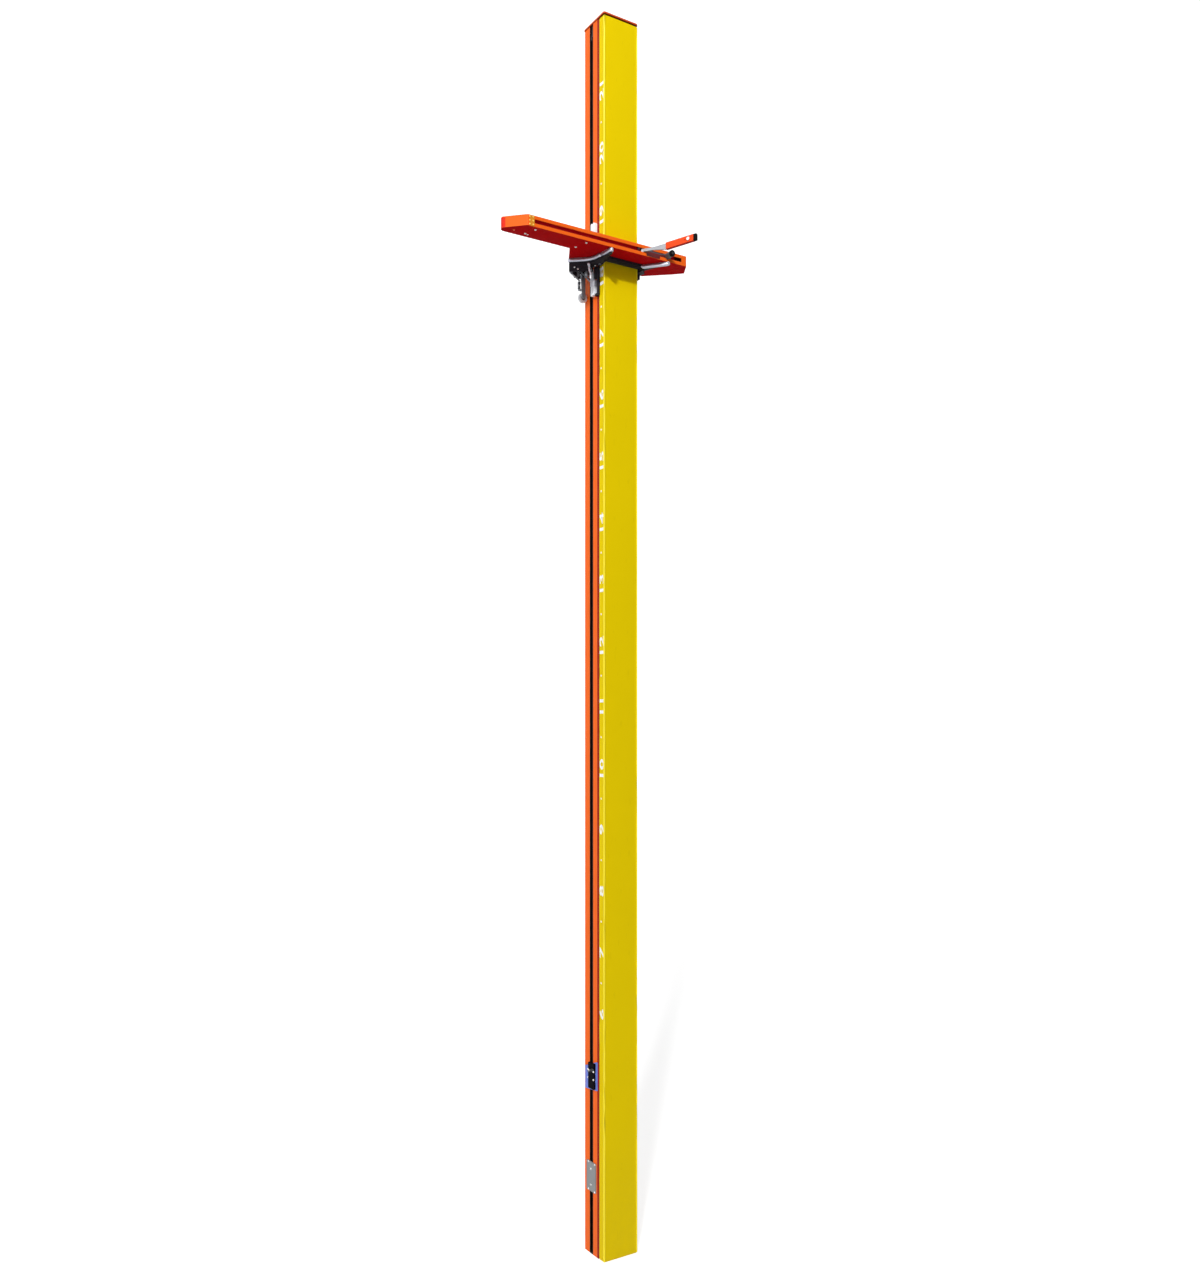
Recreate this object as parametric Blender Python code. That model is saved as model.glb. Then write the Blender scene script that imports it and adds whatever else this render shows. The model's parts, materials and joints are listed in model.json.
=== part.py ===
"""Pole vault standard: a padded upright, a crank-driven carriage and the arm that carries the crossbar peg.

Metres, +Z up. The origin is the middle of the upright's foot. -X is the crank side, -Y is the padded
side, and the arm runs along X in front of the pad.
"""

from math import atan2, cos, pi, radians, sin, tan

import bmesh
import bpy
from mathutils import Vector

for old in list(bpy.data.objects):
    bpy.data.objects.remove(old)

# Driving dimensions
FIT = 0.0003
RUNNING = 0.001

TOTAL_HEIGHT = 6.180
POST_WIDTH = 0.146
POST_DEPTH = 0.132
POST_WALL = 0.004
POST_CORNER = 0.006
PORT_INSET = 0.0075
PORT_RADIUS = 0.0032
CORNER_CHAMFER = 0.016
SLOT_WIDTH = 0.025
CHAMBER_DEPTH = 0.057
WEB_THICKNESS = 0.003
CAP_THICKNESS = 0.008
CAP_OVERHANG = 0.003
FOOT_THICKNESS = 0.008
PEG_LENGTH = 0.025
STUD_RADIUS = 0.003

PAD_FOAM = 0.0435
PAD_BOARD = 0.0055
PAD_STRIP = 0.0024
PAD_CROWN = 0.0025
PAD_EDGE = 0.009
PAD_FOOT_GAP = 0.004
PAD_SIDE_END = 0.012
STRIP_WIDTH = 0.020

BELT_WIDTH = 0.016
BELT_THICKNESS = 0.002
PULLEY_RADIUS = 0.0237
FLANGE_RISE = 0.0030
FLANGE_THICKNESS = 0.0020
IDLER_DROP = 0.062
AXLE_RADIUS = 0.005
BEARING_RADIUS = 0.0095
CHEEK_THICKNESS = 0.003

DRIVE_HEIGHT = 0.897
DRIVE_RADIUS = 0.0195
SNUB_RADIUS = 0.006
SNUB_JOURNAL = 0.003
GEAR_OFFSET = 0.027
GEAR_TEETH = 24
GEAR_PITCH_RADIUS = 0.024
GEAR_ADDENDUM = 0.0018
GEAR_DEDENDUM = 0.0026
GEAR_WIDTH = 0.010
WORM_PITCH_RADIUS = 0.011
WORM_ADDENDUM = 0.0018
WORM_DEDENDUM = 0.0024
WORM_LENGTH = 0.020
WORM_JOURNAL = 0.006
CRANK_STUB = 0.022
CRANK_ACROSS_FLATS = 0.012
GEAR_PLATE_DROP = 0.082
GEAR_PLATE_RISE = 0.079
GEAR_PLATE_FRONT = 0.060
GEAR_PLATE_BACK = 0.053
GEAR_PLATE_THICKNESS = 0.004
HOUSING_DROP = 0.061
HOUSING_RISE = 0.068
HOUSING_FRONT = 0.038
HOUSING_BACK = 0.029
HOUSING_DEPTH = 0.010

TENSION_HEIGHT = 0.388
TENSION_PLATE_DROP = 0.082
TENSION_PLATE_RISE = 0.083
TENSION_PLATE_FRONT = 0.041
TENSION_PLATE_BACK = 0.044
TENSION_PLATE_THICKNESS = 0.005

ARM_BOTTOM = 4.961
ARM_TALL = 0.0508
ARM_DEPTH = 0.121
ARM_WALL = 0.0035
ARM_PAD_GAP = 0.012
ARM_LEFT_REACH = 0.587
ARM_RIGHT_REACH = 0.303
NOSE_LENGTH = 0.123
NOSE_CHAMFER = 0.087
NOSE_ROUND = 0.025
TAIL_LENGTH = 0.074
TAIL_FRONT_FLAT = 0.030
TAIL_POINT = 0.043
TONGUE_LENGTH = 0.060
GROOVE_LIP = 0.016
CHANNEL_DEPTH = 0.013
CHANNEL_WEB = 0.003
GUSSET_THICKNESS = 0.006
GUSSET_LEFT = 0.278
GUSSET_RIGHT = 0.216
GUSSET_RIGHT_BACK = 0.030

PLATE_THICKNESS = 0.012
FLANGE_CASTING = 0.016
CASTING_INSET = 0.0015
COLLAR_GAP = 0.004
LEFT_BAY = 0.022
LEFT_BAY_FRONT = 0.083
REAR_BAY = 0.032
REAR_BAR = 0.016
RIGHT_LEG = 0.034
CLAMP_OVERLAP = 0.0105
CLAMP_HEIGHT = 0.031
PLATE_FRONT_BAR = 0.034
CASTING_FRONT_BAR = 0.024
FRONT_BAR_THICKNESS = 0.003
WING_LEFT = (-0.2213, -0.0262)
WING_KNEE = (-0.1283, -0.1062)
WING_BACK = (-0.150, 0.032)
WING_WALL_DROP = 0.066
WALL_THICKNESS = 0.006
LEFT_HORN = (-0.1115, -0.2325)
RIGHT_HORN = (0.2225, -0.2325)
HORN_RADIUS = 0.0185
LUG_DROP = 0.051
LEG_DROP = 0.171
LEG_WEB_DROP = 0.083
LEG_WEB_BACK = -0.046
LINK_TOP_PLACE = (-0.130, 0.008)
LINK_TOP_DROP = 0.037
LINK_END_PLACE = (-0.0925, -0.0182)
LINK_END_DROP = 0.0865
LINK_WIDTH = 0.007
LINK_THICKNESS = 0.004
LINK_PIN = 0.0025

SHOE_THICKNESS = 0.018
SHOE_WIDTH = 0.036
SHOE_CENTRE = -0.038
SHOE_NOTCH = 0.0025
UPPER_SHOE_RISE = 0.114
UPPER_SHOE_LENGTH = 0.084
BRAKE_SHOE_DROP = 0.165
BRAKE_SHOE_LENGTH = 0.046
CAM_RADIUS = 0.007
CAM_OFFSET = 0.004
CAM_SHAFT_RADIUS = 0.004
CAM_LIFT_ROOM = 0.0026
CAM_REACH = 0.086
CAM_WIDTH = 0.008
STRAP_RIM = 0.0025

WHEEL_RADIUS = 0.024
WHEEL_WIDTH = 0.016
WHEEL_DROP = 0.151
WHEEL_CENTRE_Y = 0.046
ARM_PIVOT_DROP = 0.038
REAR_ROLLER_RADIUS = 0.015
SIDE_ROLLER_RADIUS = 0.018
REAR_EAR_INNER = 0.044
SPRING_RADIUS = 0.0068
SPRING_WIRE = 0.0011
SPRING_TURNS = 5
SPRING_POINTS = 10
SPRING_LENGTH = 0.042
SPRING_LINK_THICKNESS = 0.004

SLIDE_LEFT = 0.045
SLIDE_RIGHT = 0.237
LEVER_PIVOT_X = 0.069
PEG_X = 0.213
PEG_RADIUS = 0.0065
PEG_BOSS_RADIUS = 0.0145
PEG_BOSS_LENGTH = 0.036
PEG_RING_LENGTH = 0.013
LEVER_KNEE = (0.070, -0.102)
GRIP_VECTOR = (0.053, -0.151)
SHANK_THICKNESS = 0.008
SHANK_LOW_HEIGHT = 0.014
SHANK_HIGH_HEIGHT = 0.028
TANG_HEIGHT = 0.022
TANG_THICKNESS = 0.006
GRIP_HEIGHT = 0.034
GRIP_THICKNESS = 0.018
GRIP_PLUG = 0.014

SCREW_RISE = 0.0028
SCREW_RADIUS = 0.0048
SCREW_TOP = 0.0034
SCREW_SHANK = 0.0025
BOLT_RADIUS = 0.0040
BOLT_HEAD = 0.0065
BOLT_HEAD_RISE = 0.0055
NUT_RADIUS = 0.0075
NUT_HEIGHT = 0.0065
CLAMP_BOLT_RADIUS = 0.0020
JAW_SCREW_RADIUS = 0.00125
ARM_PIVOT_RADIUS = 0.003
ROLLER_AXLE_RADIUS = 0.0035
AXLE_HEAD_RADIUS = 0.006
EAR_THICKNESS = 0.005
PEG_PIN_RADIUS = 0.0025
GRIP_RIVET_RADIUS = 0.0028
GRIP_RIVET_HEAD = 0.0060
JOIN = 0.001

# Places worked out from the driving dimensions
POST_LEFT = -POST_WIDTH / 2
POST_RIGHT = POST_WIDTH / 2
POST_FRONT = -POST_DEPTH / 2
POST_BACK = POST_DEPTH / 2
CAP_BOTTOM = TOTAL_HEIGHT - CAP_THICKNESS
POST_LOW = FOOT_THICKNESS + FIT
POST_HIGH = CAP_BOTTOM - FIT
CHAMBER_LEFT = POST_LEFT + POST_WALL
CHAMBER_RIGHT = CHAMBER_LEFT + CHAMBER_DEPTH
PULLEY_X = (CHAMBER_LEFT + CHAMBER_RIGHT) / 2
BELT_ARC = PULLEY_RADIUS + FIT + BELT_THICKNESS / 2
BELT_LEFT = PULLEY_X - BELT_ARC
BELT_RIGHT = PULLEY_X + BELT_ARC
DRIVE_ARC = DRIVE_RADIUS + FIT + BELT_THICKNESS / 2
SNUB_ARC = SNUB_RADIUS + FIT + BELT_THICKNESS / 2
SNUB_X = BELT_RIGHT - SNUB_ARC
SNUB_RISE = DRIVE_ARC + SNUB_ARC
IDLER_HEIGHT = CAP_BOTTOM - IDLER_DROP
CHEEK_INNER = BELT_WIDTH / 2 + FLANGE_THICKNESS + RUNNING
CHEEK_OUTER = CHEEK_INNER + CHEEK_THICKNESS

PAD_STACK = 3 * FIT + PAD_STRIP + PAD_BOARD + PAD_FOAM
PAD_FRONT = POST_FRONT - PAD_STACK
PAD_RIGHT = POST_RIGHT + PAD_STACK
PAD_LOW = FOOT_THICKNESS + PAD_FOOT_GAP
PAD_HIGH = CAP_BOTTOM - PAD_FOOT_GAP

GEAR_PLATE_LOW = DRIVE_HEIGHT - GEAR_PLATE_DROP
GEAR_PLATE_HIGH = DRIVE_HEIGHT + GEAR_PLATE_RISE
HOUSING_LOW = DRIVE_HEIGHT - HOUSING_DROP
HOUSING_HIGH = DRIVE_HEIGHT + HOUSING_RISE
TENSION_PLATE_LOW = TENSION_HEIGHT - TENSION_PLATE_DROP
TENSION_PLATE_HIGH = TENSION_HEIGHT + TENSION_PLATE_RISE

ARM_TOP = ARM_BOTTOM + ARM_TALL
ARM_BACK = PAD_FRONT - ARM_PAD_GAP
ARM_FRONT = ARM_BACK - ARM_DEPTH
ARM_LEFT = POST_LEFT - ARM_LEFT_REACH
ARM_RIGHT = POST_RIGHT + ARM_RIGHT_REACH
BEAM_LEFT = ARM_LEFT + NOSE_LENGTH
BEAM_RIGHT = ARM_RIGHT - TAIL_LENGTH
GROOVE_LOW = ARM_BOTTOM + GROOVE_LIP
GROOVE_HIGH = ARM_TOP - GROOVE_LIP
GROOVE_MIDDLE = (GROOVE_LOW + GROOVE_HIGH) / 2
CHANNEL_FRONT = ARM_FRONT + ARM_WALL
CHANNEL_BACK = CHANNEL_FRONT + CHANNEL_DEPTH
CHANNEL_LOW = ARM_BOTTOM + ARM_WALL
CHANNEL_HIGH = ARM_TOP - ARM_WALL
CAVITY_FRONT = CHANNEL_BACK + CHANNEL_WEB

PLATE_TOP = ARM_BOTTOM - FIT
PLATE_BOTTOM = PLATE_TOP - PLATE_THICKNESS
CASTING_TOP = PLATE_BOTTOM - FIT
CASTING_BOTTOM = CASTING_TOP - FLANGE_CASTING
BAY_LEFT = POST_LEFT - LEFT_BAY
RING_FRONT = PAD_FRONT - COLLAR_GAP
RING_RIGHT = PAD_RIGHT + COLLAR_GAP
RING_BACK = POST_BACK + REAR_BAY
ROLLER_HEIGHT = (CASTING_TOP + CASTING_BOTTOM) / 2
WING_WALL_BOTTOM = ARM_BOTTOM - WING_WALL_DROP
LUG_BOTTOM = ARM_BOTTOM - LUG_DROP
LEG_BOTTOM = ARM_BOTTOM - LEG_DROP
LEG_WEB_BOTTOM = ARM_BOTTOM - LEG_WEB_DROP
LINK_TOP = (*LINK_TOP_PLACE, ARM_BOTTOM - LINK_TOP_DROP)
LINK_END = (*LINK_END_PLACE, ARM_BOTTOM - LINK_END_DROP)
UPPER_SHOE_LOW = ARM_BOTTOM + UPPER_SHOE_RISE
UPPER_SHOE_HIGH = UPPER_SHOE_LOW + UPPER_SHOE_LENGTH
BRAKE_SHOE_LOW = ARM_BOTTOM - BRAKE_SHOE_DROP
BRAKE_SHOE_HIGH = BRAKE_SHOE_LOW + BRAKE_SHOE_LENGTH
WHEEL_HEIGHT = ARM_BOTTOM - WHEEL_DROP
ARM_PIVOT_HEIGHT = ARM_BOTTOM - ARM_PIVOT_DROP


# Materials
def material(name, colour, roughness, metallic=0.0):
    made = bpy.data.materials.new(name)
    made.use_nodes = True
    shader = made.node_tree.nodes["Principled BSDF"]
    shader.inputs["Base Color"].default_value = (*colour, 1.0)
    shader.inputs["Roughness"].default_value = roughness
    shader.inputs["Metallic"].default_value = metallic
    made.diffuse_color = (*colour, 1.0)
    return made


ORANGE = material("orange_enamel", (0.90, 0.13, 0.02), 0.42)
YELLOW = material("yellow_vinyl", (0.80, 0.58, 0.01), 0.55)
BACKING = material("dark_red_board", (0.25, 0.02, 0.01), 0.70)
HOOK = material("fastener_strip", (0.04, 0.04, 0.04), 0.90)
RUBBER = material("black_rubber", (0.015, 0.015, 0.017), 0.80)
STEEL = material("zinc_steel", (0.55, 0.56, 0.58), 0.35, 1.0)
ALUMINIUM = material("satin_aluminium", (0.74, 0.75, 0.78), 0.32, 1.0)
CHARCOAL = material("charcoal_casting", (0.035, 0.032, 0.038), 0.55)
BLACK = material("black_housing", (0.012, 0.012, 0.014), 0.45)
BLUE_GREY = material("blue_grey_plate", (0.22, 0.26, 0.50), 0.45)
NYLON = material("white_nylon", (0.86, 0.86, 0.84), 0.45)
BRONZE = material("gear_bronze", (0.55, 0.34, 0.12), 0.35, 1.0)
GRIP = material("orange_grip", (0.88, 0.14, 0.02), 0.50)


# Outlines
def circle(centre, radius, sides=20, start=0.0):
    angles = [start + 2 * pi * i / sides for i in range(sides)]
    return [(centre[0] + radius * cos(angle), centre[1] + radius * sin(angle)) for angle in angles]


def arc(centre, radius, start, end, steps):
    angles = [start + (end - start) * i / steps for i in range(steps + 1)]
    return [(centre[0] + radius * cos(angle), centre[1] + radius * sin(angle)) for angle in angles]


def rectangle(low_a, high_a, low_b, high_b):
    return [(low_a, low_b), (high_a, low_b), (high_a, high_b), (low_a, high_b)]


def rounded(points, step=radians(18)):
    """An outline in which a point (a, b, radius) becomes an arc that touches both its sides."""
    outline = []
    for i, point in enumerate(points):
        if len(point) == 2:
            outline.append(point)
            continue
        corner = Vector(point[:2])
        back = (Vector(points[i - 1][:2]) - corner).normalized()
        ahead = (Vector(points[(i + 1) % len(points)][:2]) - corner).normalized()
        half = back.angle(ahead) / 2
        centre = corner + (back + ahead).normalized() * (point[2] / sin(half))
        first = corner + back * (point[2] / tan(half)) - centre
        last = corner + ahead * (point[2] / tan(half)) - centre
        begin = atan2(first.y, first.x)
        sweep = (atan2(last.y, last.x) - begin + pi) % (2 * pi) - pi
        steps = max(2, round(abs(sweep) / step))
        outline += arc(centre, point[2], begin, begin + sweep, steps)
    return outline


# Solids
def along_x(a, b, t):
    return Vector((t, a, b))


def along_y(a, b, t):
    return Vector((a, t, b))


def along_z(a, b, t):
    return Vector((a, b, t))


def along(origin, direction_a, direction_b):
    """A placement whose third axis is square to the two given directions."""
    start = Vector(origin)
    side = Vector(direction_a).normalized()
    rise = Vector(direction_b).normalized()
    out = side.cross(rise)
    return lambda a, b, t: start + side * a + rise * b + out * t


def prism(outline, low, high, place=along_z, holes=()):
    """Fills a mesh with an outline, less its holes, drawn out from low to high."""
    def fill(mesh):
        edges = []
        for loop in (outline, *holes):
            ring = [mesh.verts.new(place(a, b, low)) for a, b in loop]
            edges += [mesh.edges.new((ring[i - 1], ring[i])) for i in range(len(ring))]
        if holes:
            made = bmesh.ops.triangle_fill(mesh, use_beauty=True, use_dissolve=False, edges=edges)
            faces = [item for item in made["geom"] if isinstance(item, bmesh.types.BMFace)]
        else:
            faces = [mesh.faces.new(ring)]
        drawn = bmesh.ops.extrude_face_region(mesh, geom=faces)
        shift = place(0, 0, high) - place(0, 0, low)
        moved = [item for item in drawn["geom"] if isinstance(item, bmesh.types.BMVert)]
        bmesh.ops.translate(mesh, vec=shift, verts=moved)
    return fill


def block(x, y, z):
    return prism(rectangle(*x, *y), *z)


def rod(centre, radius, low, high, place=along_z, sides=16, bore=0.0):
    holes = [circle(centre, bore, sides)] if bore else []
    return prism(circle(centre, radius, sides), low, high, place, holes)


def turned(centre, profile, place=along_z, sides=20):
    """A solid of revolution: profile points are (place along the axis, radius), closed at both ends."""
    def fill(mesh):
        rings = [
            [mesh.verts.new(place(a, b, t)) for a, b in circle(centre, radius, sides)]
            for t, radius in profile
        ]
        for lower, upper in zip(rings, rings[1:]):
            for i in range(sides):
                mesh.faces.new((lower[i - 1], lower[i], upper[i], upper[i - 1]))
        mesh.faces.new(rings[0])
        mesh.faces.new(rings[-1])
    return fill


def loft(sections):
    """Closed skin through sections that all have the same number of points."""
    def fill(mesh):
        rings = [[mesh.verts.new(point) for point in section] for section in sections]
        for lower, upper in zip(rings, rings[1:]):
            for i in range(len(lower)):
                mesh.faces.new((lower[i - 1], lower[i], upper[i], upper[i - 1]))
        mesh.faces.new(rings[0])
        mesh.faces.new(rings[-1])
    return fill


def mesh_of(name, shape):
    mesh = bmesh.new()
    shape(mesh)
    bmesh.ops.recalc_face_normals(mesh, faces=mesh.faces)
    data = bpy.data.meshes.new(name)
    mesh.to_mesh(data)
    mesh.free()
    return data


def place_object(name, data, finish, origin):
    made = bpy.data.objects.new(name, data)
    bpy.context.collection.objects.link(made)
    data.materials.clear()
    data.materials.append(finish)
    for corner in data.vertices:
        corner.co -= Vector(origin)
    made.location = origin
    data.shade_smooth()
    data.set_sharp_from_angle(angle=radians(30))
    return made


def solid(name, finish, shapes, cuts=(), origin=(0, 0, 0)):
    """One body: the shapes are united, and the cuts are taken away from them."""
    base = bpy.data.objects.new(name, mesh_of(name, shapes[0]))
    bpy.context.collection.objects.link(base)
    tools = []
    for operation, pieces in (("UNION", shapes[1:]), ("DIFFERENCE", cuts)):
        for shape in pieces:
            tool = bpy.data.objects.new(name + "_tool", mesh_of(name + "_tool", shape))
            bpy.context.collection.objects.link(tool)
            step = base.modifiers.new(operation.lower(), "BOOLEAN")
            step.operation = operation
            step.solver = "EXACT"
            step.object = tool
            tools.append(tool)
    bpy.context.view_layer.update()
    seen = base.evaluated_get(bpy.context.evaluated_depsgraph_get())
    data = bpy.data.meshes.new_from_object(seen)
    close_slivers(data)
    for used in (base, *tools):
        bpy.data.objects.remove(used)
    return place_object(name, data, finish, origin)


def close_slivers(data):
    """Closes the hairline gaps that a Boolean can leave where three corners lie on one line."""
    mesh = bmesh.new()
    mesh.from_mesh(data)
    open_edges = [edge for edge in mesh.edges if len(edge.link_faces) == 1]
    if open_edges:
        bmesh.ops.holes_fill(mesh, edges=open_edges, sides=6)
        bmesh.ops.recalc_face_normals(mesh, faces=mesh.faces)
        mesh.to_mesh(data)
    mesh.free()


# Upright
def upright():
    inner_front = POST_FRONT + POST_WALL
    inner_back = POST_BACK - POST_WALL
    inner_right = POST_RIGHT - POST_WALL
    half_slot = SLOT_WIDTH / 2
    outline = rounded([
        (POST_LEFT, half_slot), (POST_LEFT, POST_BACK, POST_CORNER), (POST_RIGHT, POST_BACK, POST_CORNER),
        (POST_RIGHT, POST_FRONT, POST_CORNER), (POST_LEFT, POST_FRONT, POST_CORNER), (POST_LEFT, -half_slot),
        (CHAMBER_LEFT, -half_slot), (CHAMBER_LEFT, inner_front + CORNER_CHAMFER),
        (CHAMBER_LEFT + CORNER_CHAMFER, inner_front), (CHAMBER_RIGHT, inner_front),
        (CHAMBER_RIGHT, inner_back), (CHAMBER_LEFT + CORNER_CHAMFER, inner_back),
        (CHAMBER_LEFT, inner_back - CORNER_CHAMFER), (CHAMBER_LEFT, half_slot),
    ], radians(30))
    main_chamber = [
        (CHAMBER_RIGHT + WEB_THICKNESS, inner_front), (inner_right - CORNER_CHAMFER, inner_front),
        (inner_right, inner_front + CORNER_CHAMFER), (inner_right, inner_back - CORNER_CHAMFER),
        (inner_right - CORNER_CHAMFER, inner_back), (CHAMBER_RIGHT + WEB_THICKNESS, inner_back),
    ]
    ports = [circle(centre, PORT_RADIUS, 10) for centre in port_centres()]
    gear_window = block(
        (POST_LEFT - POST_WALL, CHAMBER_LEFT + CORNER_CHAMFER - RUNNING),
        (-GEAR_PLATE_FRONT + POST_CORNER, CHEEK_OUTER + POST_WALL),
        (GEAR_PLATE_LOW + 0.028, GEAR_PLATE_HIGH - 0.018),
    )
    tension_window = block(
        (POST_LEFT - POST_WALL, CHAMBER_LEFT + RUNNING),
        (-CHEEK_OUTER - POST_WALL, CHEEK_OUTER + POST_WALL),
        (TENSION_PLATE_LOW + 0.026, TENSION_PLATE_HIGH - 0.028),
    )
    solid(
        "upright_extrusion", ORANGE,
        [prism(outline, POST_LOW, POST_HIGH, holes=[main_chamber, *ports])],
        [gear_window, tension_window],
    )


def port_centres():
    a = POST_WIDTH / 2 - PORT_INSET
    b = POST_DEPTH / 2 - PORT_INSET
    return [(-a, -b), (a, -b), (a, b), (-a, b)]


def end_plates():
    """The cap and the foot: plates whose pegs press into the screw ports of the extrusion."""
    peg = PORT_RADIUS - FIT * 1.1
    cap = rounded([
        (POST_LEFT - CAP_OVERHANG, PAD_FRONT - CAP_OVERHANG, 0.008),
        (PAD_RIGHT + CAP_OVERHANG, PAD_FRONT - CAP_OVERHANG, 0.012),
        (PAD_RIGHT + CAP_OVERHANG, POST_BACK + CAP_OVERHANG, 0.008),
        (POST_LEFT - CAP_OVERHANG, POST_BACK + CAP_OVERHANG, 0.008),
    ])
    foot = rounded([
        (POST_LEFT, POST_FRONT, POST_CORNER), (POST_RIGHT, POST_FRONT, POST_CORNER),
        (POST_RIGHT, POST_BACK, POST_CORNER), (POST_LEFT, POST_BACK, POST_CORNER),
    ])
    solid("top_cap", ORANGE, [
        prism(cap, CAP_BOTTOM, TOTAL_HEIGHT),
        *[rod(spot, peg, CAP_BOTTOM - PEG_LENGTH, CAP_BOTTOM + 0.001, sides=10) for spot in port_centres()],
    ], [
        rod(spot, STUD_RADIUS + FIT, CAP_BOTTOM - 0.001, TOTAL_HEIGHT + 0.001, sides=12)
        for spot in bracket_studs()
    ])
    solid("foot_plate", ORANGE, [
        prism(foot, 0.0, FOOT_THICKNESS),
        *[rod(spot, peg, FOOT_THICKNESS - 0.001, FOOT_THICKNESS + PEG_LENGTH, sides=10)
          for spot in port_centres()],
    ])


# Pad
def pad():
    low_x = POST_LEFT
    foam_front = POST_FRONT - PAD_STACK + PAD_FOAM
    foam_right = POST_RIGHT + PAD_STACK - PAD_FOAM
    steps = 6

    def section(draw_in, z):
        front = PAD_FRONT + draw_in
        right = PAD_RIGHT - draw_in
        left = low_x + draw_in
        end = PAD_SIDE_END - draw_in
        broad = []
        for i in range(1, steps):
            share = i / steps
            crown = PAD_CROWN * 4 * share * (1 - share)
            broad.append((left + (right - left) * share, front + PAD_CROWN - crown))
        corner = PAD_EDGE
        outline = rounded([
            (left, foam_front), (left, front + PAD_CROWN, corner), *broad, (right, front + PAD_CROWN, corner),
            (right, end, corner), (foam_right, end), (foam_right, foam_front),
        ], radians(30))
        return [(x, y, z) for x, y in outline]

    soft = PAD_EDGE / 2
    stations = [
        (soft, PAD_LOW), (soft * 0.3, PAD_LOW + soft * 0.4), (0.0, PAD_LOW + soft * 1.4),
        (0.0, (PAD_LOW + PAD_HIGH) / 2),
        (0.0, PAD_HIGH - soft * 1.4), (soft * 0.3, PAD_HIGH - soft * 0.4), (soft, PAD_HIGH),
    ]
    solid("upright_pad", YELLOW, [loft([section(draw, z) for draw, z in stations])])

    board_in = FIT + PAD_STRIP + FIT
    board_out = board_in + PAD_BOARD
    board = [
        (low_x + FIT, POST_FRONT - board_in), (low_x + FIT, POST_FRONT - board_out),
        (POST_RIGHT + board_out, POST_FRONT - board_out), (POST_RIGHT + board_out, PAD_SIDE_END),
        (POST_RIGHT + board_in, PAD_SIDE_END), (POST_RIGHT + board_in, POST_FRONT - board_in),
    ]
    solid("pad_backing_board", BACKING, [prism(board, PAD_LOW, PAD_HIGH)])

    strip_in = FIT
    strip_out = FIT + PAD_STRIP
    strip = [
        (low_x + STRIP_WIDTH, POST_FRONT - strip_in), (low_x + STRIP_WIDTH, POST_FRONT - strip_out),
        (POST_RIGHT + strip_out, POST_FRONT - strip_out), (POST_RIGHT + strip_out, PAD_SIDE_END - STRIP_WIDTH),
        (POST_RIGHT + strip_in, PAD_SIDE_END - STRIP_WIDTH), (POST_RIGHT + strip_in, POST_FRONT - strip_in),
    ]
    solid("pad_fastener_strip", HOOK, [prism(strip, PAD_LOW, PAD_HIGH)])


# Belt drive
def belt():
    top = (PULLEY_X, IDLER_HEIGHT)
    low = (PULLEY_X, TENSION_HEIGHT)
    drive = (PULLEY_X, DRIVE_HEIGHT)
    upper_snub = (SNUB_X, DRIVE_HEIGHT + SNUB_RISE)
    lower_snub = (SNUB_X, DRIVE_HEIGHT - SNUB_RISE)

    def path(offset):
        return (
            arc(top, BELT_ARC + offset, pi, 0, 14)
            + arc(upper_snub, SNUB_ARC + offset, 0, -pi / 2, 5)
            + arc(drive, DRIVE_ARC - offset, pi / 2, 3 * pi / 2, 12)
            + arc(lower_snub, SNUB_ARC + offset, pi / 2, 0, 5)
            + arc(low, BELT_ARC + offset, 0, -pi, 14)
        )

    half = BELT_THICKNESS / 2
    solid("drive_belt", RUBBER, [prism(
        path(half), -BELT_WIDTH / 2, BELT_WIDTH / 2, along_y, [path(-half)],
    )])


def flanged_pulley(name, centre, radius, bore, half_width):
    """A pulley along Y whose flanges keep the belt on its rim."""
    rim = BELT_WIDTH / 2 + FIT
    edge = rim + FLANGE_THICKNESS
    profile = [
        (-edge, radius + FLANGE_RISE), (-rim, radius + FLANGE_RISE), (-rim, radius),
        (rim, radius), (rim, radius + FLANGE_RISE), (edge, radius + FLANGE_RISE),
    ]
    return solid(
        name, ALUMINIUM, [turned(centre, profile, along_y, 24)],
        [rod(centre, bore, -half_width, half_width, along_y, 16)], (centre[0], 0, centre[1]),
    )


def idler():
    centre = (PULLEY_X, IDLER_HEIGHT)
    flanged_pulley("idler_pulley", centre, PULLEY_RADIUS, BEARING_RADIUS + FIT, 0.05)
    pulley_bearing("idler_bearing", centre)
    cheek = (IDLER_HEIGHT - 0.014, CAP_BOTTOM - FIT)
    width = (PULLEY_X - 0.022, PULLEY_X + 0.022)
    web = CAP_BOTTOM - FIT - 0.006
    solid("idler_bracket", STEEL, [
        block(width, (-CHEEK_OUTER, CHEEK_OUTER), (web, CAP_BOTTOM - FIT)),
        block(width, (-CHEEK_OUTER, -CHEEK_INNER), cheek),
        block(width, (CHEEK_INNER, CHEEK_OUTER), cheek),
        *[turned(spot, [
            (web + 0.001, STUD_RADIUS), (TOTAL_HEIGHT + FIT, STUD_RADIUS), (TOTAL_HEIGHT + FIT, 0.006),
            (TOTAL_HEIGHT + 0.002, 0.0045),
        ], sides=12) for spot in bracket_studs()],
    ], [rod(centre, AXLE_RADIUS + FIT, -0.05, 0.05, along_y)])
    headed_axle("idler_axle", centre)


def bracket_studs():
    return [(PULLEY_X - 0.014, 0.0), (PULLEY_X + 0.014, 0.0)]


def pulley_bearing(name, centre):
    half = BELT_WIDTH / 2 + FLANGE_THICKNESS
    origin = (centre[0], 0, centre[1])
    ring = rod(centre, BEARING_RADIUS, -half, half, along_y, 16, AXLE_RADIUS + FIT)
    solid(name, STEEL, [ring], origin=origin)


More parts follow.
